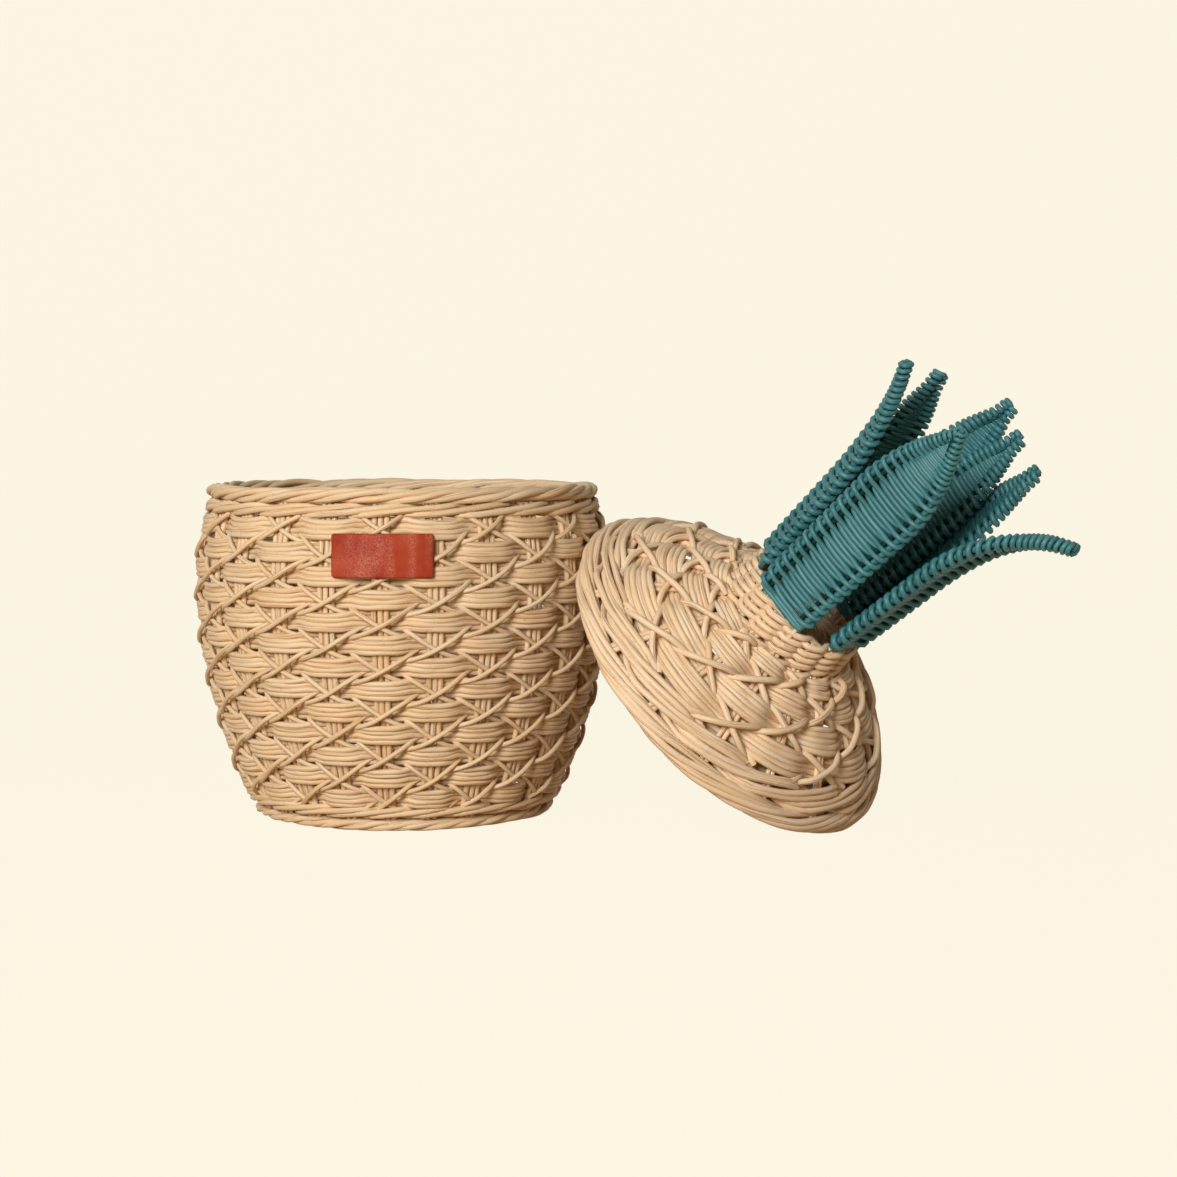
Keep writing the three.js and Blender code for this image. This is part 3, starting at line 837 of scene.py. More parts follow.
def tag_point(across, up, layer, edge):
    """A point of the patch's back, layer 0, or face, layer 1, by its distance from the edge."""
    height = TAG_MIDDLE + up
    floats = wall_radius(height) + ROW_OFFSET + ROW_HALF_THICKNESS
    back = hypot(floats, FLOAT_HALF_WIDTH) + CLEARANCE
    wave = 0
    for rise, across_rate, up_rate, start in TAG_WAVES:
        wave += rise * sin(across * across_rate + up * up_rate + start)
    skin = TAG_THICKNESS * layer
    round_off = TAG_ROUNDING * (1 - ease(edge / TAG_EDGE)) * (-1 if layer else 1)
    radius = back + TAG_STAND_OFF + wave + skin + round_off
    return on_wall(TAG_TURN + across / (back + skin), radius, height)


def outline_of(grid):
    """The border points of a grid, in order round it."""
    right = [line[-1] for line in grid[1:-1]]
    left = [line[0] for line in grid[-2:0:-1]]
    return grid[0] + right + grid[-1][::-1] + left


# Lid


def lid_matrix():
    """Turns the lid's own frame, crown along +Z, into its place beside the basket."""
    tip, heading = LID_TIP, LID_HEADING
    across = (cos(tip) * cos(heading), -cos(tip) * sin(heading), -sin(tip))
    back = (sin(heading), cos(heading), 0)
    crown = (sin(tip) * cos(heading), -sin(tip) * sin(heading), cos(tip))
    turned = Matrix((across, back, crown)).transposed().to_4x4()
    return Matrix.Translation(LID_PLACE) @ turned


LID_MATRIX = lid_matrix()


def on_lid(turn, out, height):
    return LID_MATRIX @ Vector((out * cos(turn), out * sin(turn), height))


def dome_profile():
    """Points down the dome's outer side, from its foot: distance, radius, height, slope."""
    count = 240
    rings = []
    travelled = 0.0
    for n in range(count + 1):
        share = n / count
        radius = lerp(DOME_FOOT[0], DOME_TOP[0], share) + DOME_SWELL * sin(pi * share)
        height = lerp(DOME_FOOT[1], DOME_TOP[1], share)
        if rings:
            travelled += hypot(radius - rings[-1][1], height - rings[-1][2])
        rings.append((travelled, radius, height))
    return rings


DOME_PROFILE = dome_profile()


def dome_ring(distance):
    """Radius, height and outward direction of the dome's canes at a distance from its foot."""
    total = DOME_PROFILE[-1][0]
    share = min(1.0, max(0.0, distance / total)) * (len(DOME_PROFILE) - 1)
    index = min(int(share), len(DOME_PROFILE) - 2)
    low, high = DOME_PROFILE[index], DOME_PROFILE[index + 1]
    part = (distance - low[0]) / (high[0] - low[0])
    radius = lerp(low[1], high[1], part)
    height = lerp(low[2], high[2], part)
    slope = atan2(high[2] - low[2], high[1] - low[1])
    return radius, height, sin(slope), -cos(slope)


def on_dome(turn, distance, out):
    """A point of the lid at a distance up the dome, out from the middle of its thickness."""
    radius, height, face_out, face_up = dome_ring(distance)
    depth = out - DOME_THICKNESS / 2
    return on_lid(turn, radius + depth * face_out, height + depth * face_up)


def lid_stake_turn(place):
    return LID_FIRST_STAKE + place * 2 * pi / LID_STAKES


def dome_row_distance(row):
    """Distance up the dome of a row, also between rows."""
    low = min(max(int(floor(row)), 0), len(DOME_ROWS) - 2)
    return lerp(DOME_ROWS[low], DOME_ROWS[low + 1], row - low)


def dome_stake_lines(guides, diameter):
    """Pairs of canes from the rim, over the dome, up into the collar."""
    end = DOME_PROFILE[-1][0] - LID_STAKE_END
    steps, collar_steps = 24, 7
    bend_radius, bend_height = LID_STAKE_BEND
    for stake in range(LID_STAKES):
        turn = lid_stake_turn(stake)
        for beside in (-LID_STAKE_APART, LID_STAKE_APART):
            line = []
            for step in range(steps + 1):
                distance = lerp(LID_STAKE_START, end, step / steps)
                radius = dome_ring(distance)[0]
                line.append(on_dome(turn + beside / radius, distance, 0))
            line.append(on_lid(turn + beside / bend_radius, bend_radius, bend_height))
            for step in range(collar_steps + 1):
                share = step / collar_steps
                radius, height = (lerp(*ends, share) for ends in zip(LID_STAKE_FOOT, LID_STAKE_TOP))
                line.append(on_lid(turn + beside / radius, radius, height))
            guides.add(line, diameter)


def dome_row_lines(guides, row, overlap):
    """One row round the dome, floating over every other pair of stakes."""
    canes = DOME_ROW_CANES[row - 1]
    pitch = (DOME_ROW_EDGES[row] - DOME_ROW_EDGES[row - 1]) / canes
    for cane in range(canes):
        stagger = STAGGER if cane % 2 else -STAGGER
        rise = (cane - (canes - 1) / 2) * pitch
        line = []
        for place in places_round(LID_STAKES, 12):
            wave = over_under(place, row)
            bend = sin(pi / 2 * wave)
            squeezed = rise * (1 - DOME_SQUEEZE * (1 - wave * wave))
            distance = DOME_ROWS[row] - DOME_BOW * bend + squeezed
            out = DOME_SWING * bend + stagger * (1 - wave * wave)
            line.append(on_dome(lid_stake_turn(place), distance, out))
        guides.add(line, pitch * overlap, closed=True)


def dome_lashing_lines(guides, start, rises, diameter):
    """A twisting pair of canes that climbs one row of the dome for each stake."""
    steps = 12
    depths = RIGHT_DOME_LASHING if rises else LEFT_DOME_LASHING
    for strand in (1, -1):
        line = []
        for step in range((len(DOME_ROWS) - 1) * steps + 1):
            row = step / steps
            place = (start + row) if rises else (start - row)
            wave = strand * cos(pi * place)
            twist = strand * DOME_LASHING_TWIST * sin(pi * place) * (1 if rises else -1)
            distance = dome_row_distance(row) - DOME_LASHING_DIP * wave + twist
            if not DOME_LASHING_ENDS[0] <= distance <= DOME_LASHING_ENDS[1]:
                continue
            tucked = tuck(distance, DOME_LASHING_ENDS, DOME_LASHING_TUCK)
            out = strand_depth(wave, depths) * tucked
            line.append(on_dome(lid_stake_turn(place), distance, out))
        guides.add(line, diameter)


def lining_lines(guides, first, last, diameter):
    """Plain canes side by side, round the inside of the dome."""
    steps = 96
    count = int((last - first) / (diameter * LINING_SPACING)) + 1
    for cane in range(count):
        distance = lerp(first, last, cane / (count - 1))
        turns = [2 * pi * step / steps for step in range(steps)]
        line = [on_dome(turn, distance, -LINING_DEPTH) for turn in turns]
        guides.add(line, diameter, closed=True)


def dome_wale_place(place, rise, out):
    """Places a rod round the dome's foot by stakes, distance up the dome, and distance out."""
    return on_dome(lid_stake_turn(place), DOME_WALE + rise, out)


def collar_lines(guides, diameter):
    """Pairs of canes twined round the pairs of stakes, row above row."""
    for row in range(COLLAR_ROWS):
        share = (row + 0.5) / COLLAR_ROWS
        height = lerp(COLLAR_FOOT - COLLAR_DROP, COLLAR_TOP - COLLAR_SHORT, share)
        radius = lerp(COLLAR_FOOT_RADIUS, COLLAR_TOP_RADIUS, share) - COLLAR_INSET
        radius += COLLAR_INSET if row == 0 else 0
        for strand in (0, pi):
            line = []
            for place in places_round(LID_STAKES, 12):
                angle = pi * (place + row) + strand
                out = radius + COLLAR_SWING * sin(pi / 2 * cos(angle))
                rise = COLLAR_TWIST * sin(angle)
                line.append(on_lid(lid_stake_turn(place), out, height + rise))
            guides.add(line, diameter, closed=True)


def coil_lines(guides, inner, outer, height, diameter):
    """A flat coil of cane round the lid's axis."""
    turns = (outer - inner) / (diameter * COIL_SPACING)
    steps = int(turns * 40)
    line = []
    for step in range(steps + 1):
        share = step / steps
        line.append(on_lid(turns * 2 * pi * share, lerp(inner, outer, share), height))
    guides.add(line, diameter)


# Leaves


class Leaf:
    """One leaf of the crown: its middle line, its width, and points on it."""

    def __init__(self, turn, reach, width, length, lean, tip_turn):
        self.turn = radians(turn)
        self.half_width = width * LEAF_HALF_WIDTH
        self.length = length * LEAF_LENGTH
        step = self.length / LEAF_STEPS
        out = reach * LEAF_REACH
        up = COLLAR_TOP + CLEARANCE + LEAF_HOOP / 2
        self.line = []
        for index in range(LEAF_STEPS + 1):
            share = index / LEAF_STEPS
            bend = max(0, (share - LEAF_BEND_START) / (1 - LEAF_BEND_START))
            angle = radians(lean + tip_turn * bend**LEAF_BEND_POWER)
            self.line.append((out, up, angle))
            out += step * sin(angle)
            up += step * cos(angle)

    def half(self, share):
        """Half the hoop's width, to the middle of its cane."""
        if share < LEAF_SHOULDER:
            shape = LEAF_FOOT_SHARE + (1 - LEAF_FOOT_SHARE) * share / LEAF_SHOULDER
        else:
            past = (share - LEAF_SHOULDER) / (1 - LEAF_SHOULDER)
            shape = 1 - past**LEAF_POINT_POWER
        return max(0.0, shape * self.half_width - LEAF_HOOP / 2)

    def middle(self, share):
        place = min(max(share, 0.0), 1.0) * LEAF_STEPS
        index = min(int(place), LEAF_STEPS - 1)
        part = place - index
        before = self.line[max(index - 1, 0)]
        low, high = self.line[index], self.line[index + 1]
        after = self.line[min(index + 2, LEAF_STEPS)]
        spot = [round_through(*values, part) for values in zip(before, low, high, after)]
        past = share - min(max(share, 0.0), 1.0)
        spot[0] += past * self.length * sin(spot[2])
        spot[1] += past * self.length * cos(spot[2])
        return spot

    def point(self, share, across, depth):
        """A point at a share of the length, across the leaf and out from its middle."""
        out, up, angle = self.middle(share)
        out += depth * cos(angle)
        up -= depth * sin(angle)
        x = out * cos(self.turn) - across * sin(self.turn)
        y = out * sin(self.turn) + across * cos(self.turn)
        return LID_MATRIX @ Vector((x, y, up))


def round_through(before, low, high, after, part):
    """A smooth curve's value between low and high."""
    square, cube = part * part, part * part * part
    first = 2 * low + (high - before) * part
    second = (2 * before - 5 * low + 4 * high - after) * square
    third = (3 * low - before - 3 * high + after) * cube
    return (first + second + third) / 2


def leaf_taper(share):
    """The canes of a leaf thin out towards its point."""
    return lerp(1.0, TIP_THICKNESS, ease((share - TAPER_START) / (1 - TAPER_START)))


def hoop_lines(guides, leaf, diameter):
    """The leaf's hoop: up one side, round the point, down the other and along the foot."""
    count = 46
    shares = [sin(pi / 2 * n / count) for n in range(count + 1)]
    right = [leaf.point(share, leaf.half(share), 0) for share in shares]
    left = [leaf.point(share, -leaf.half(share), 0) for share in reversed(shares[:-1])]
    foot = leaf.half(0)
    bar = [leaf.point(FOOT_BAR, foot * (n / 4 - 1), 0) for n in range(1, 8)]
    taper = [leaf_taper(share) for share in shares]
    taper += taper[-2::-1] + [1.0] * len(bar)
    guides.add(right + left + bar, diameter, closed=True, uneven=0.0, taper=taper)
    low = [leaf.point(LOW_BAR, foot * LOW_BAR_WIDTH * (n / 4 - 1), 0) for n in range(9)]
    guides.add(low, diameter * LOW_BAR_THICKNESS, uneven=0.0)


def rib_lines(guides, leaf, diameter):
    """Ribs inside the two long sides of a leaf's hoop."""
    spots = [lerp(*RIB_ENDS, n / 40) for n in range(41)]
    insides = [max(leaf.half(spot) - RIB_INSET, 0) for spot in spots]
    for side in (-1, 1):
        line = [leaf.point(spot, side * inside, 0) for spot, inside in zip(spots, insides)]
        guides.add(line, diameter, uneven=0.0)


# Half a lap of the winding: across as a share of the half width, past the hoop and deep as
# shares of the winding's depth, and how far along the half lap it is
HALF_LAP = (
    (0.0, 0.0, 0.0, 0.0),
    (-0.35, 0.0, 0.03, 0.0),
    (-0.58, 0.0, 0.25, 0.0),
    (-0.8, 0.0, 0.82, 0.0),
    (-1.0, 0.0, 1.0, 0.06),
    (-1.0, -0.71, 0.71, 0.25),
    (-1.0, -1.0, 0.0, 0.5),
    (-1.0, -0.71, -0.71, 0.75),
    (-1.0, 0.0, -1.0, 0.94),
    (-0.8, 0.0, -0.82, 1.0),
    (-0.58, 0.0, -0.25, 1.0),
    (-0.35, 0.0, -0.03, 1.0),
)


def wrap_lines(guides, leaf, hoop, diameter, pitch, tip_pitch, sag, knob):
    """Thin cane wound in figures of eight over the two sides of the hoop."""
    line = []
    taper = []
    share, last = WINDING_ENDS
    while share < last:
        closing = ease((share - TIGHTENING[0]) / TIGHTENING[1])
        step = lerp(pitch, tip_pitch, closing) / leaf.length / 2
        thin = leaf_taper(share)
        depth = (hoop + diameter) / 2 * thin
        for side in (1, -1):
            for wide, past, deep, part in HALF_LAP:
                spot = share + step * part
                half = max(leaf.half(min(spot, 1.0)), knob * knob_width(spot))
                droop = sag * (1 - wide * wide) / leaf.length
                across = side * (wide * half + past * depth)
                line.append(leaf.point(spot - droop, across, deep * depth))
                taper.append(thin)
            share += step
    guides.add(line, diameter, uneven=0.0, taper=taper)


def knob_width(spot):
    """Width of the rounded knob at a leaf's point, as a share: 1 where it begins, 0 at its end."""
    start, reach = KNOB
    return sqrt(1 - min(max((spot - start) / reach, 0.0), 1.0) ** 2)


def stub_lines(guides, leaf, diameter, random):
    """The undyed ends of a leaf's hoop, which go down into the collar."""
    top_spot, bottom_spot = STUB_ENDS
    for side in (-1, 1):
        for spread in STUB_SPREADS:
            across = side * leaf.half(0) * spread
            lean = random.uniform(-STUB_LEAN, STUB_LEAN)
            top = leaf.point(top_spot, across, 0)
            depth = random.uniform(-STUB_DEPTH, STUB_DEPTH)
            bottom = leaf.point(bottom_spot, across + lean, depth)
            guides.add([top.lerp(bottom, n / 4) for n in range(5)], diameter)


# Settings


def thickness(name, canes, default):
    """A setting for how thick some canes are."""
    return FloatProperty(
        name=name,
        description="Thickness of " + canes,
        default=default,
        min=0.0005,
        max=0.02,
        precision=4,
        unit="LENGTH",
    )


def colour(name, description, *screen):
    return FloatVectorProperty(
        name=name,
        description=description,
        default=srgb(*screen),
        min=0.0,
        max=1.0,
        size=3,
        subtype="COLOR",
    )


class BasketSizes(bpy.types.PropertyGroup):
    """Cane sizes of the basket."""

    stake: thickness("Stake cane", "each of a stake's three canes", 0.0041)
    row: thickness("Row cane", "the canes in the rows", 0.0043)
    lashing: thickness("Lashing cane", "the canes that cross between floats", 0.0034)
    rim_rod: thickness("Rim rod", "the rods twisted under the rim", 0.0047)
    foot_rod: thickness("Foot rod", "the rods twisted above the foot", 0.0042)
    rim_strand: thickness("Rim strand", "the strands rolled into the rim", 0.0050)
    foot_strand: thickness("Foot strand", "the strands rolled into the foot", 0.0047)
    spoke: thickness("Base spoke", "the spokes of the base", 0.0022)
    base_ring: thickness("Base ring", "the rings of the base", 0.0029)
    row_canes: IntProperty(
        name="Canes in a row", description="Canes side by side in each row", default=4, min=1, max=6
    )


class LidSizes(bpy.types.PropertyGroup):
    """Cane sizes of the lid and its crown."""

    stake: thickness("Stake cane", "each of a pair of stake canes", 0.0038)
    row_overlap: FloatProperty(
        name="Row overlap",
        description="Thickness of the canes in the rows, as a share of their spacing",
        default=1.12,
        min=0.5,
        max=1.2,
    )
    lashing: thickness("Lashing cane", "the canes that cross between floats", 0.0046)
    foot_rod: thickness("Foot rod", "the rods twisted round the dome's foot", 0.0047)
    lining: thickness("Lining cane", "the canes inside the dome", 0.0036)
    rim_strand: thickness("Rim strand", "the strands rolled into the rim", 0.0048)
    twining: thickness("Collar cane", "the canes twined round the collar", 0.0048)
    coil: thickness("Crown coil", "the cane coiled inside the crown", 0.0042)
    hoop: thickness("Leaf hoop", "the cane bent into each leaf", 0.0044)
    front_winding: thickness("Front winding", "the cane wound round the front leaf", 0.0037)
    winding: thickness("Leaf winding", "the cane wound round the other leaves", 0.0045)
    rib: thickness("Leaf rib", "the ribs inside each leaf", 0.0036)
    stub: thickness("Leaf stub", "the undyed ends under each leaf", 0.0032)


class BasketColours(bpy.types.PropertyGroup):
    """Colours of the cane, the dyed leaves and the leather."""

    cane: colour("Cane", "Usual colour of the basket's cane", 220, 180, 130)
    cane_pale: colour("Pale cane", "Palest colour of the basket's cane", 228, 207, 174)
    cane_line: colour("Cane lines", "Dark lines and specks along the cane", 130, 68, 24)
    lid_cane: colour("Lid cane", "Usual colour of the lid's cane", 229, 191, 143)
    lid_cane_pale: colour("Pale lid cane", "Palest colour of the lid's cane", 237, 216, 186)
    teal: colour("Leaf teal", "Usual colour of the dyed leaves", 26, 90, 96)
    teal_pale: colour("Pale teal", "Where the dye is thin", 78, 138, 142)
    teal_deep: colour("Deep teal", "Where the dye is thick", 10, 56, 54)
    # Painted shade: a near-black teal for the ribs, which darkens the leaves' slots
    teal_painted_shade: colour("Darkest teal", "The ribs inside the leaves", 5, 30, 31)
    leather: colour("Leather", "Usual colour of the leather patch", 172, 62, 26)
    # Painted sheen: the pale colour of the highlight bands on the patch
    leather_painted_sheen: colour("Pale leather", "Rubbed parts of the patch", 206, 130, 112)
    leather_deep: colour("Deep leather", "Darkest parts of the patch", 148, 40, 8)


# Operators


def weave_border(node, ring, section, strand, seed, **look):
    """Rolls a border of the basket, in place of its CAD node."""
    guides = Guides(seed)
    rope_lines(guides, on_wall, ring, section, BORDER_STRANDS, BORDER_TURNS, strand)
    weave(node + "_rope", guides, *BASKET_CANE, [node], sides=10, **look)


def weave_wale(node, middle, shape, rod, seed):
    """Twists rods round the basket's wall, in place of their CAD node."""
    guides = Guides(seed)
    wale_lines(guides, wall_wale_place(middle), STAKES, rod, *shape)
    weave(node + "_rods", guides, *BASKET_CANE, [node], sides=10, waver=0.0007, length=0.04)


def weave_lashings(name, add_pair, stakes, diameter, cane, seed):
    """Crosses two families of lashings, one that rises to the right and one to the left."""
    for rises in (True, False):
        guides = Guides(seed + rises)
        for start in range(1, stakes, 2):
            add_pair(guides, start, rises, diameter)
        weave(name + ("_right" if rises else "_left"), guides, *cane)


class BASKET_OT_base(bpy.types.Operator):
    """Weave the floor of the basket."""

    bl_idname = "basket.base"
    bl_label = "Base"

    def execute(self, context):
        sizes = context.scene.pineapple_basket
        guides = Guides(seed=11)
        base_lines(guides, sizes.spoke, sizes.base_ring)
        weave("base_weave", guides, *BASKET_CANE, ["base_disc"], sides=6, waver=0.0002)
        return {"FINISHED"}


class BASKET_OT_foot(bpy.types.Operator):
    """Roll the foot border and twist the rods above it."""

    bl_idname = "basket.foot"
    bl_label = "Foot"

    def execute(self, context):
        sizes = context.scene.pineapple_basket
        border = (FOOT_BORDER, FOOT_BORDER_SECTION, sizes.foot_strand)
        weave_border("foot_border", *border, seed=21, waver=0.0007, length=0.05)
        weave_wale("foot_wale", FOOT_WALE, FOOT_WALE_SHAPE, sizes.foot_rod, seed=22)
        return {"FINISHED"}


class BASKET_OT_stakes(bpy.types.Operator):
    """Stand the stakes round the wall."""

    bl_idname = "basket.stakes"
    bl_label = "Stakes"

    def execute(self, context):
        sizes = context.scene.pineapple_basket
        for stake in range(STAKES):
            guides = Guides(seed=100 + stake)
            stake_lines(guides, stake, sizes.stake)
            name = f"stake_{stake + 1}"
            weave(name + "_canes", guides, *BASKET_CANE, [name])
        return {"FINISHED"}


class BASKET_OT_rows(bpy.types.Operator):
    """Weave the rows in and out of the stakes."""

    bl_idname = "basket.rows"
    bl_label = "Rows"

    def execute(self, context):
        sizes = context.scene.pineapple_basket
        for row in range(ROWS):
            guides = Guides(seed=200 + row)
            row_lines(guides, row, sizes.row, sizes.row_canes)
            name = f"weave_row_{row + 1}"
            weave(name + "_canes", guides, *BASKET_CANE, [name])
        return {"FINISHED"}


class BASKET_OT_lashings(bpy.types.Operator):
    """Cross the lashing canes between the floats."""

    bl_idname = "basket.lashings"
    bl_label = "Lashings"

    def execute(self, context):
        lashing = context.scene.pineapple_basket.lashing
        weave_lashings("lashings", lashing_lines, STAKES, lashing, BASKET_CANE, seed=300)
        return {"FINISHED"}


class BASKET_OT_rim(bpy.types.Operator):
    """Twist the rods under the rim and roll the rim."""

    bl_idname = "basket.rim"
    bl_label = "Rim"

    def execute(self, context):
        sizes = context.scene.pineapple_basket
        weave_wale("rim_wale", RIM_WALE, RIM_WALE_SHAPE, sizes.rim_rod, seed=31)
        border = (RIM_BORDER, RIM_BORDER_SECTION, sizes.rim_strand)
        weave_border("rim_border", *border, seed=32, waver=0.0013, length=0.06)
        return {"FINISHED"}


class BASKET_OT_tag(bpy.types.Operator):
    """Fix the bare leather patch to the front."""

    bl_idname = "basket.tag"
    bl_label = "Leather patch"

    def execute(self, context):
        mesh = tag_mesh("leather_patch")
        mesh.materials.append(finish_named("rust_leather"))
        patch = bpy.data.objects.new("leather_patch", mesh)
        context.scene.collection.objects.link(patch)
        settle(patch, "basket", "leather", ["leather_tag"])
        return {"FINISHED"}


class BASKET_OT_lid_rim(bpy.types.Operator):
    """Roll the thick rim of the lid."""

    bl_idname = "basket.lid_rim"
    bl_label = "Lid rim"

    def execute(self, context):
        sizes = context.scene.pineapple_lid
        guides = Guides(seed=41)
        roll = (LID_RIM_STRANDS, LID_RIM_TURNS, sizes.rim_strand)
        rope_lines(guides, on_lid, LID_RIM, LID_RIM_SECTION, *roll)
        look = {"sides": 10, "waver": 0.0016, "length": 0.06}
        weave("lid_rim_rope", guides, *LID_CANE, ["lid_rim"], **look)
        return {"FINISHED"}


class BASKET_OT_lid_dome(bpy.types.Operator):
    """Weave the dome of the lid."""

    bl_idname = "basket.lid_dome"
    bl_label = "Lid dome"

    def execute(self, context):
        sizes = context.scene.pineapple_lid
        stakes = Guides(seed=51)
        dome_stake_lines(stakes, sizes.stake)
        weave("lid_stakes", stakes, *LID_CANE, ["lid_dome"])
        for row in range(1, len(DOME_ROW_EDGES)):
            guides = Guides(seed=60 + row)
            dome_row_lines(guides, row, sizes.row_overlap)
            weave(f"lid_row_{row}", guides, *LID_CANE)
        lashings = (dome_lashing_lines, LID_STAKES, sizes.lashing)
        weave_lashings("lid_lashings", *lashings, LID_CANE, seed=70)
        wale = Guides(seed=75)
        shape = (*DOME_WALE_SHAPE, DOME_WALE_PAIR)
        wale_lines(wale, dome_wale_place, LID_STAKES, sizes.foot_rod, *shape)
        weave("lid_foot_rods", wale, *LID_CANE, sides=10, waver=0.0015, length=0.05)
        lining = Guides(seed=76)
        for ends in LININGS:
            lining_lines(lining, *ends, sizes.lining)
        weave("lid_lining", lining, *LID_CANE)
        return {"FINISHED"}


class BASKET_OT_lid_collar(bpy.types.Operator):
    """Twine the collar that carries the leaves."""

    bl_idname = "basket.lid_collar"
    bl_label = "Lid collar"

    def execute(self, context):
        sizes = context.scene.pineapple_lid
        twining = Guides(seed=81)
        collar_lines(twining, sizes.twining)
        weave("lid_collar_twining", twining, *LID_CANE, ["lid_collar"], waver=0.0008)
        coil = Guides(seed=82)
        coil_lines(coil, *CROWN_COIL, sizes.coil)
        weave("lid_crown_coils", coil, *LID_CANE)
        return {"FINISHED"}


class BASKET_OT_leaves(bpy.types.Operator):
    """Bend and wind the leaves of the crown."""

    bl_idname = "basket.leaves"
    bl_label = "Leaves"

    def execute(self, context):
        sizes = context.scene.pineapple_lid
        stubs = Guides(seed=90)
        ribs = Guides(seed=92)
        random = Random(91)
        for number, values in enumerate(LEAVES, 1):
            leaf = Leaf(*values)
            name = f"leaf_{number}"
            hoop = Guides(seed=400 + number)
            hoop_lines(hoop, leaf, sizes.hoop)
            weave(name + "_hoop", hoop, *LEAF_CANE, [name + "_frame"], sides=10, waver=0.0002)
            winding = Guides(seed=500 + number)
            if number == 1:
                wrap_lines(winding, leaf, sizes.hoop, sizes.front_winding, *FRONT_WINDING)
            else:
                wrap_lines(winding, leaf, sizes.hoop, sizes.winding, *WINDING)
            weave(name + "_winding", winding, *LEAF_CANE, [name + "_wrap"], waver=0.0002)
            rib_lines(ribs, leaf, sizes.rib)
            stub_lines(stubs, leaf, sizes.stub, random)
        # The ribs are coloured near black as painted shade inside the leaves' slots
        weave("leaf_ribs_painted_shade", ribs, *RIB_CANE)
        weave("leaf_stubs", stubs, *LID_CANE)
        return {"FINISHED"}


class BASKET_OT_stage(bpy.types.Operator):
    """Set the camera, the pale sweep and the soft light."""

    bl_idname = "basket.stage"
    bl_label = "Stage"

    def execute(self, context):
        scene = context.scene
        scene.view_settings.view_transform = "Standard"
        add_camera(scene)
        add_sweep(scene)
        add_lights(scene)
        return {"FINISHED"}


def add_camera(scene):
    lens = bpy.data.cameras.new("camera")
    lens.lens = CAMERA_LENS
    lens.sensor_width = CAMERA_SENSOR
    camera = bpy.data.objects.new("camera", lens)
    camera.location = CAMERA_PLACE
    camera.rotation_euler = (pi / 2 - CAMERA_TILT, 0, 0)
    scene.collection.objects.link(camera)
    scene.camera = camera


def add_sweep(scene):
    """A floor that curves up into a backdrop."""
    front, back = FLOOR_ENDS
    outline = [(front, 0.0), (back, 0.0)]
    outline += [(back + sin(n * pi / 24), 1 - cos(n * pi / 24)) for n in range(1, 13)]
    outline.append((back + 1, SWEEP_TOP))
    made = bmesh.new()
    sides = [[made.verts.new((x, y, z)) for y, z in outline] for x in (-SWEEP_SIDE, SWEEP_SIDE)]
    for n in range(len(outline) - 1):
        made.faces.new((sides[0][n], sides[1][n], sides[1][n + 1], sides[0][n + 1]))
    mesh = bpy.data.meshes.new("sweep")
    made.to_mesh(mesh)
    made.free()
    mesh.shade_smooth()
    mesh.materials.append(sweep_finish())
    sweep = bpy.data.objects.new("sweep", mesh)
    scene.collection.objects.link(sweep)


def sweep_finish():
    """Cream paper that keeps a faint shadow."""
    material = bpy.data.materials.new("cream_paper")
    material.use_nodes = True
    wire = cleared_wire(material.node_tree)
    paper = wire.add("ShaderNodeBsdfDiffuse", inputs={"Color": opaque(PAPER)})
    glow = wire.add("ShaderNodeEmission", inputs={"Color": opaque(CREAM), "Strength": 1.0})
    mixed = {0: seen_directly(wire) * PAPER_GLOW, 1: paper, 2: glow}
    surface = wire.add("ShaderNodeMixShader", inputs=mixed)
    wire.add("ShaderNodeOutputMaterial", inputs={"Surface": surface})
    return material


def seen_directly(wire):
    """1 for rays from the camera, and for those that gloss or glass pass on."""
    rays = wire.add("ShaderNodeLightPath", output="Is Camera Ray")
    shiny = rays.other("Is Glossy Ray").math("MAXIMUM", rays.other("Is Transmission Ray"))
    return rays.math("MAXIMUM", shiny)


def add_lights(scene):
    """The room's faint light, a key lamp from the left and a weak fill lamp from the right."""
    world = bpy.data.worlds.new("studio")
    scene.world = world
    world.use_nodes = True
    wire = cleared_wire(world.node_tree)
    room = {"Color": ROOM_TINT, "Strength": ROOM_STRENGTH}
    soft = wire.add("ShaderNodeBackground", inputs=room)
    seen = wire.add("ShaderNodeBackground", inputs={"Color": opaque(CREAM), "Strength": 1.0})
    mixed = {0: seen_directly(wire), 1: soft, 2: seen}
    surface = wire.add("ShaderNodeMixShader", inputs=mixed)
    wire.add("ShaderNodeOutputWorld", inputs={"Surface": surface})
    add_lamp(scene, "key", *KEY_LAMP)
    add_lamp(scene, "fill", *FILL_LAMP)


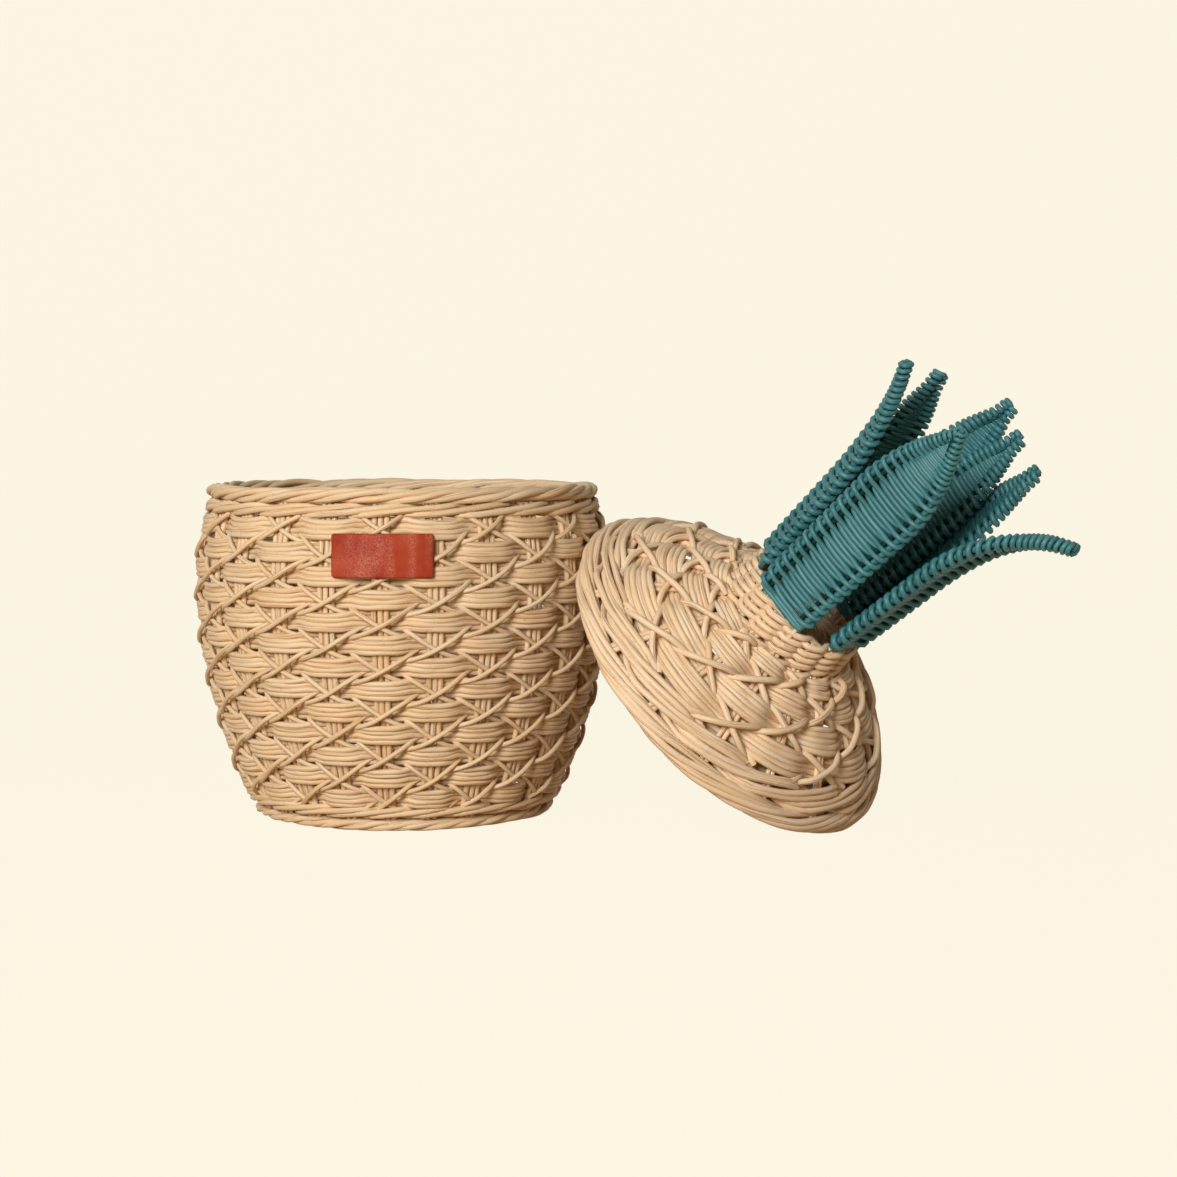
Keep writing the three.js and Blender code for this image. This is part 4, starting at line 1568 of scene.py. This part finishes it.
def add_lamp(scene, name, place, size, power):
    """A square lamp that faces the basket."""
    light = bpy.data.lights.new(name, "AREA")
    light.energy = power
    light.size = size
    lamp = bpy.data.objects.new(name, light)
    lamp.location = place
    aim = Vector(LAMP_AIM) - lamp.location
    lamp.rotation_euler = aim.to_track_quat("-Z", "Y").to_euler()
    scene.collection.objects.link(lamp)


# Panel and registration

PIECES = (
    BASKET_OT_base,
    BASKET_OT_foot,
    BASKET_OT_stakes,
    BASKET_OT_rows,
    BASKET_OT_lashings,
    BASKET_OT_rim,
    BASKET_OT_tag,
    BASKET_OT_lid_rim,
    BASKET_OT_lid_dome,
    BASKET_OT_lid_collar,
    BASKET_OT_leaves,
    BASKET_OT_stage,
)


class BASKET_PT_pieces(bpy.types.Panel):
    """The basket's sizes, colours and pieces."""

    bl_idname = "BASKET_PT_pieces"
    bl_label = "Pineapple basket"
    bl_space_type = "VIEW_3D"
    bl_region_type = "UI"
    bl_category = "Basket"

    def draw(self, context):
        scene = context.scene
        for settings in (scene.pineapple_basket, scene.pineapple_lid, scene.pineapple_colours):
            box = self.layout.box()
            for name in settings.__annotations__:
                box.prop(settings, name)
        for piece in PIECES:
            self.layout.operator(piece.bl_idname)


CLASSES = (BasketSizes, LidSizes, BasketColours, *PIECES, BASKET_PT_pieces)


def register():
    for entry in CLASSES:
        bpy.utils.register_class(entry)
    bpy.types.Scene.pineapple_basket = PointerProperty(type=BasketSizes)
    bpy.types.Scene.pineapple_lid = PointerProperty(type=LidSizes)
    bpy.types.Scene.pineapple_colours = PointerProperty(type=BasketColours)


def unregister():
    del bpy.types.Scene.pineapple_colours
    del bpy.types.Scene.pineapple_lid
    del bpy.types.Scene.pineapple_basket
    for entry in reversed(CLASSES):
        bpy.utils.unregister_class(entry)


def main():
    register()
    bpy.ops.basket.base()
    bpy.ops.basket.foot()
    bpy.ops.basket.stakes()
    bpy.ops.basket.rows()
    bpy.ops.basket.lashings()
    bpy.ops.basket.rim()
    bpy.ops.basket.tag()
    bpy.ops.basket.lid_rim()
    bpy.ops.basket.lid_dome()
    bpy.ops.basket.lid_collar()
    bpy.ops.basket.leaves()
    bpy.ops.basket.stage()


if __name__ == "__main__":
    main()
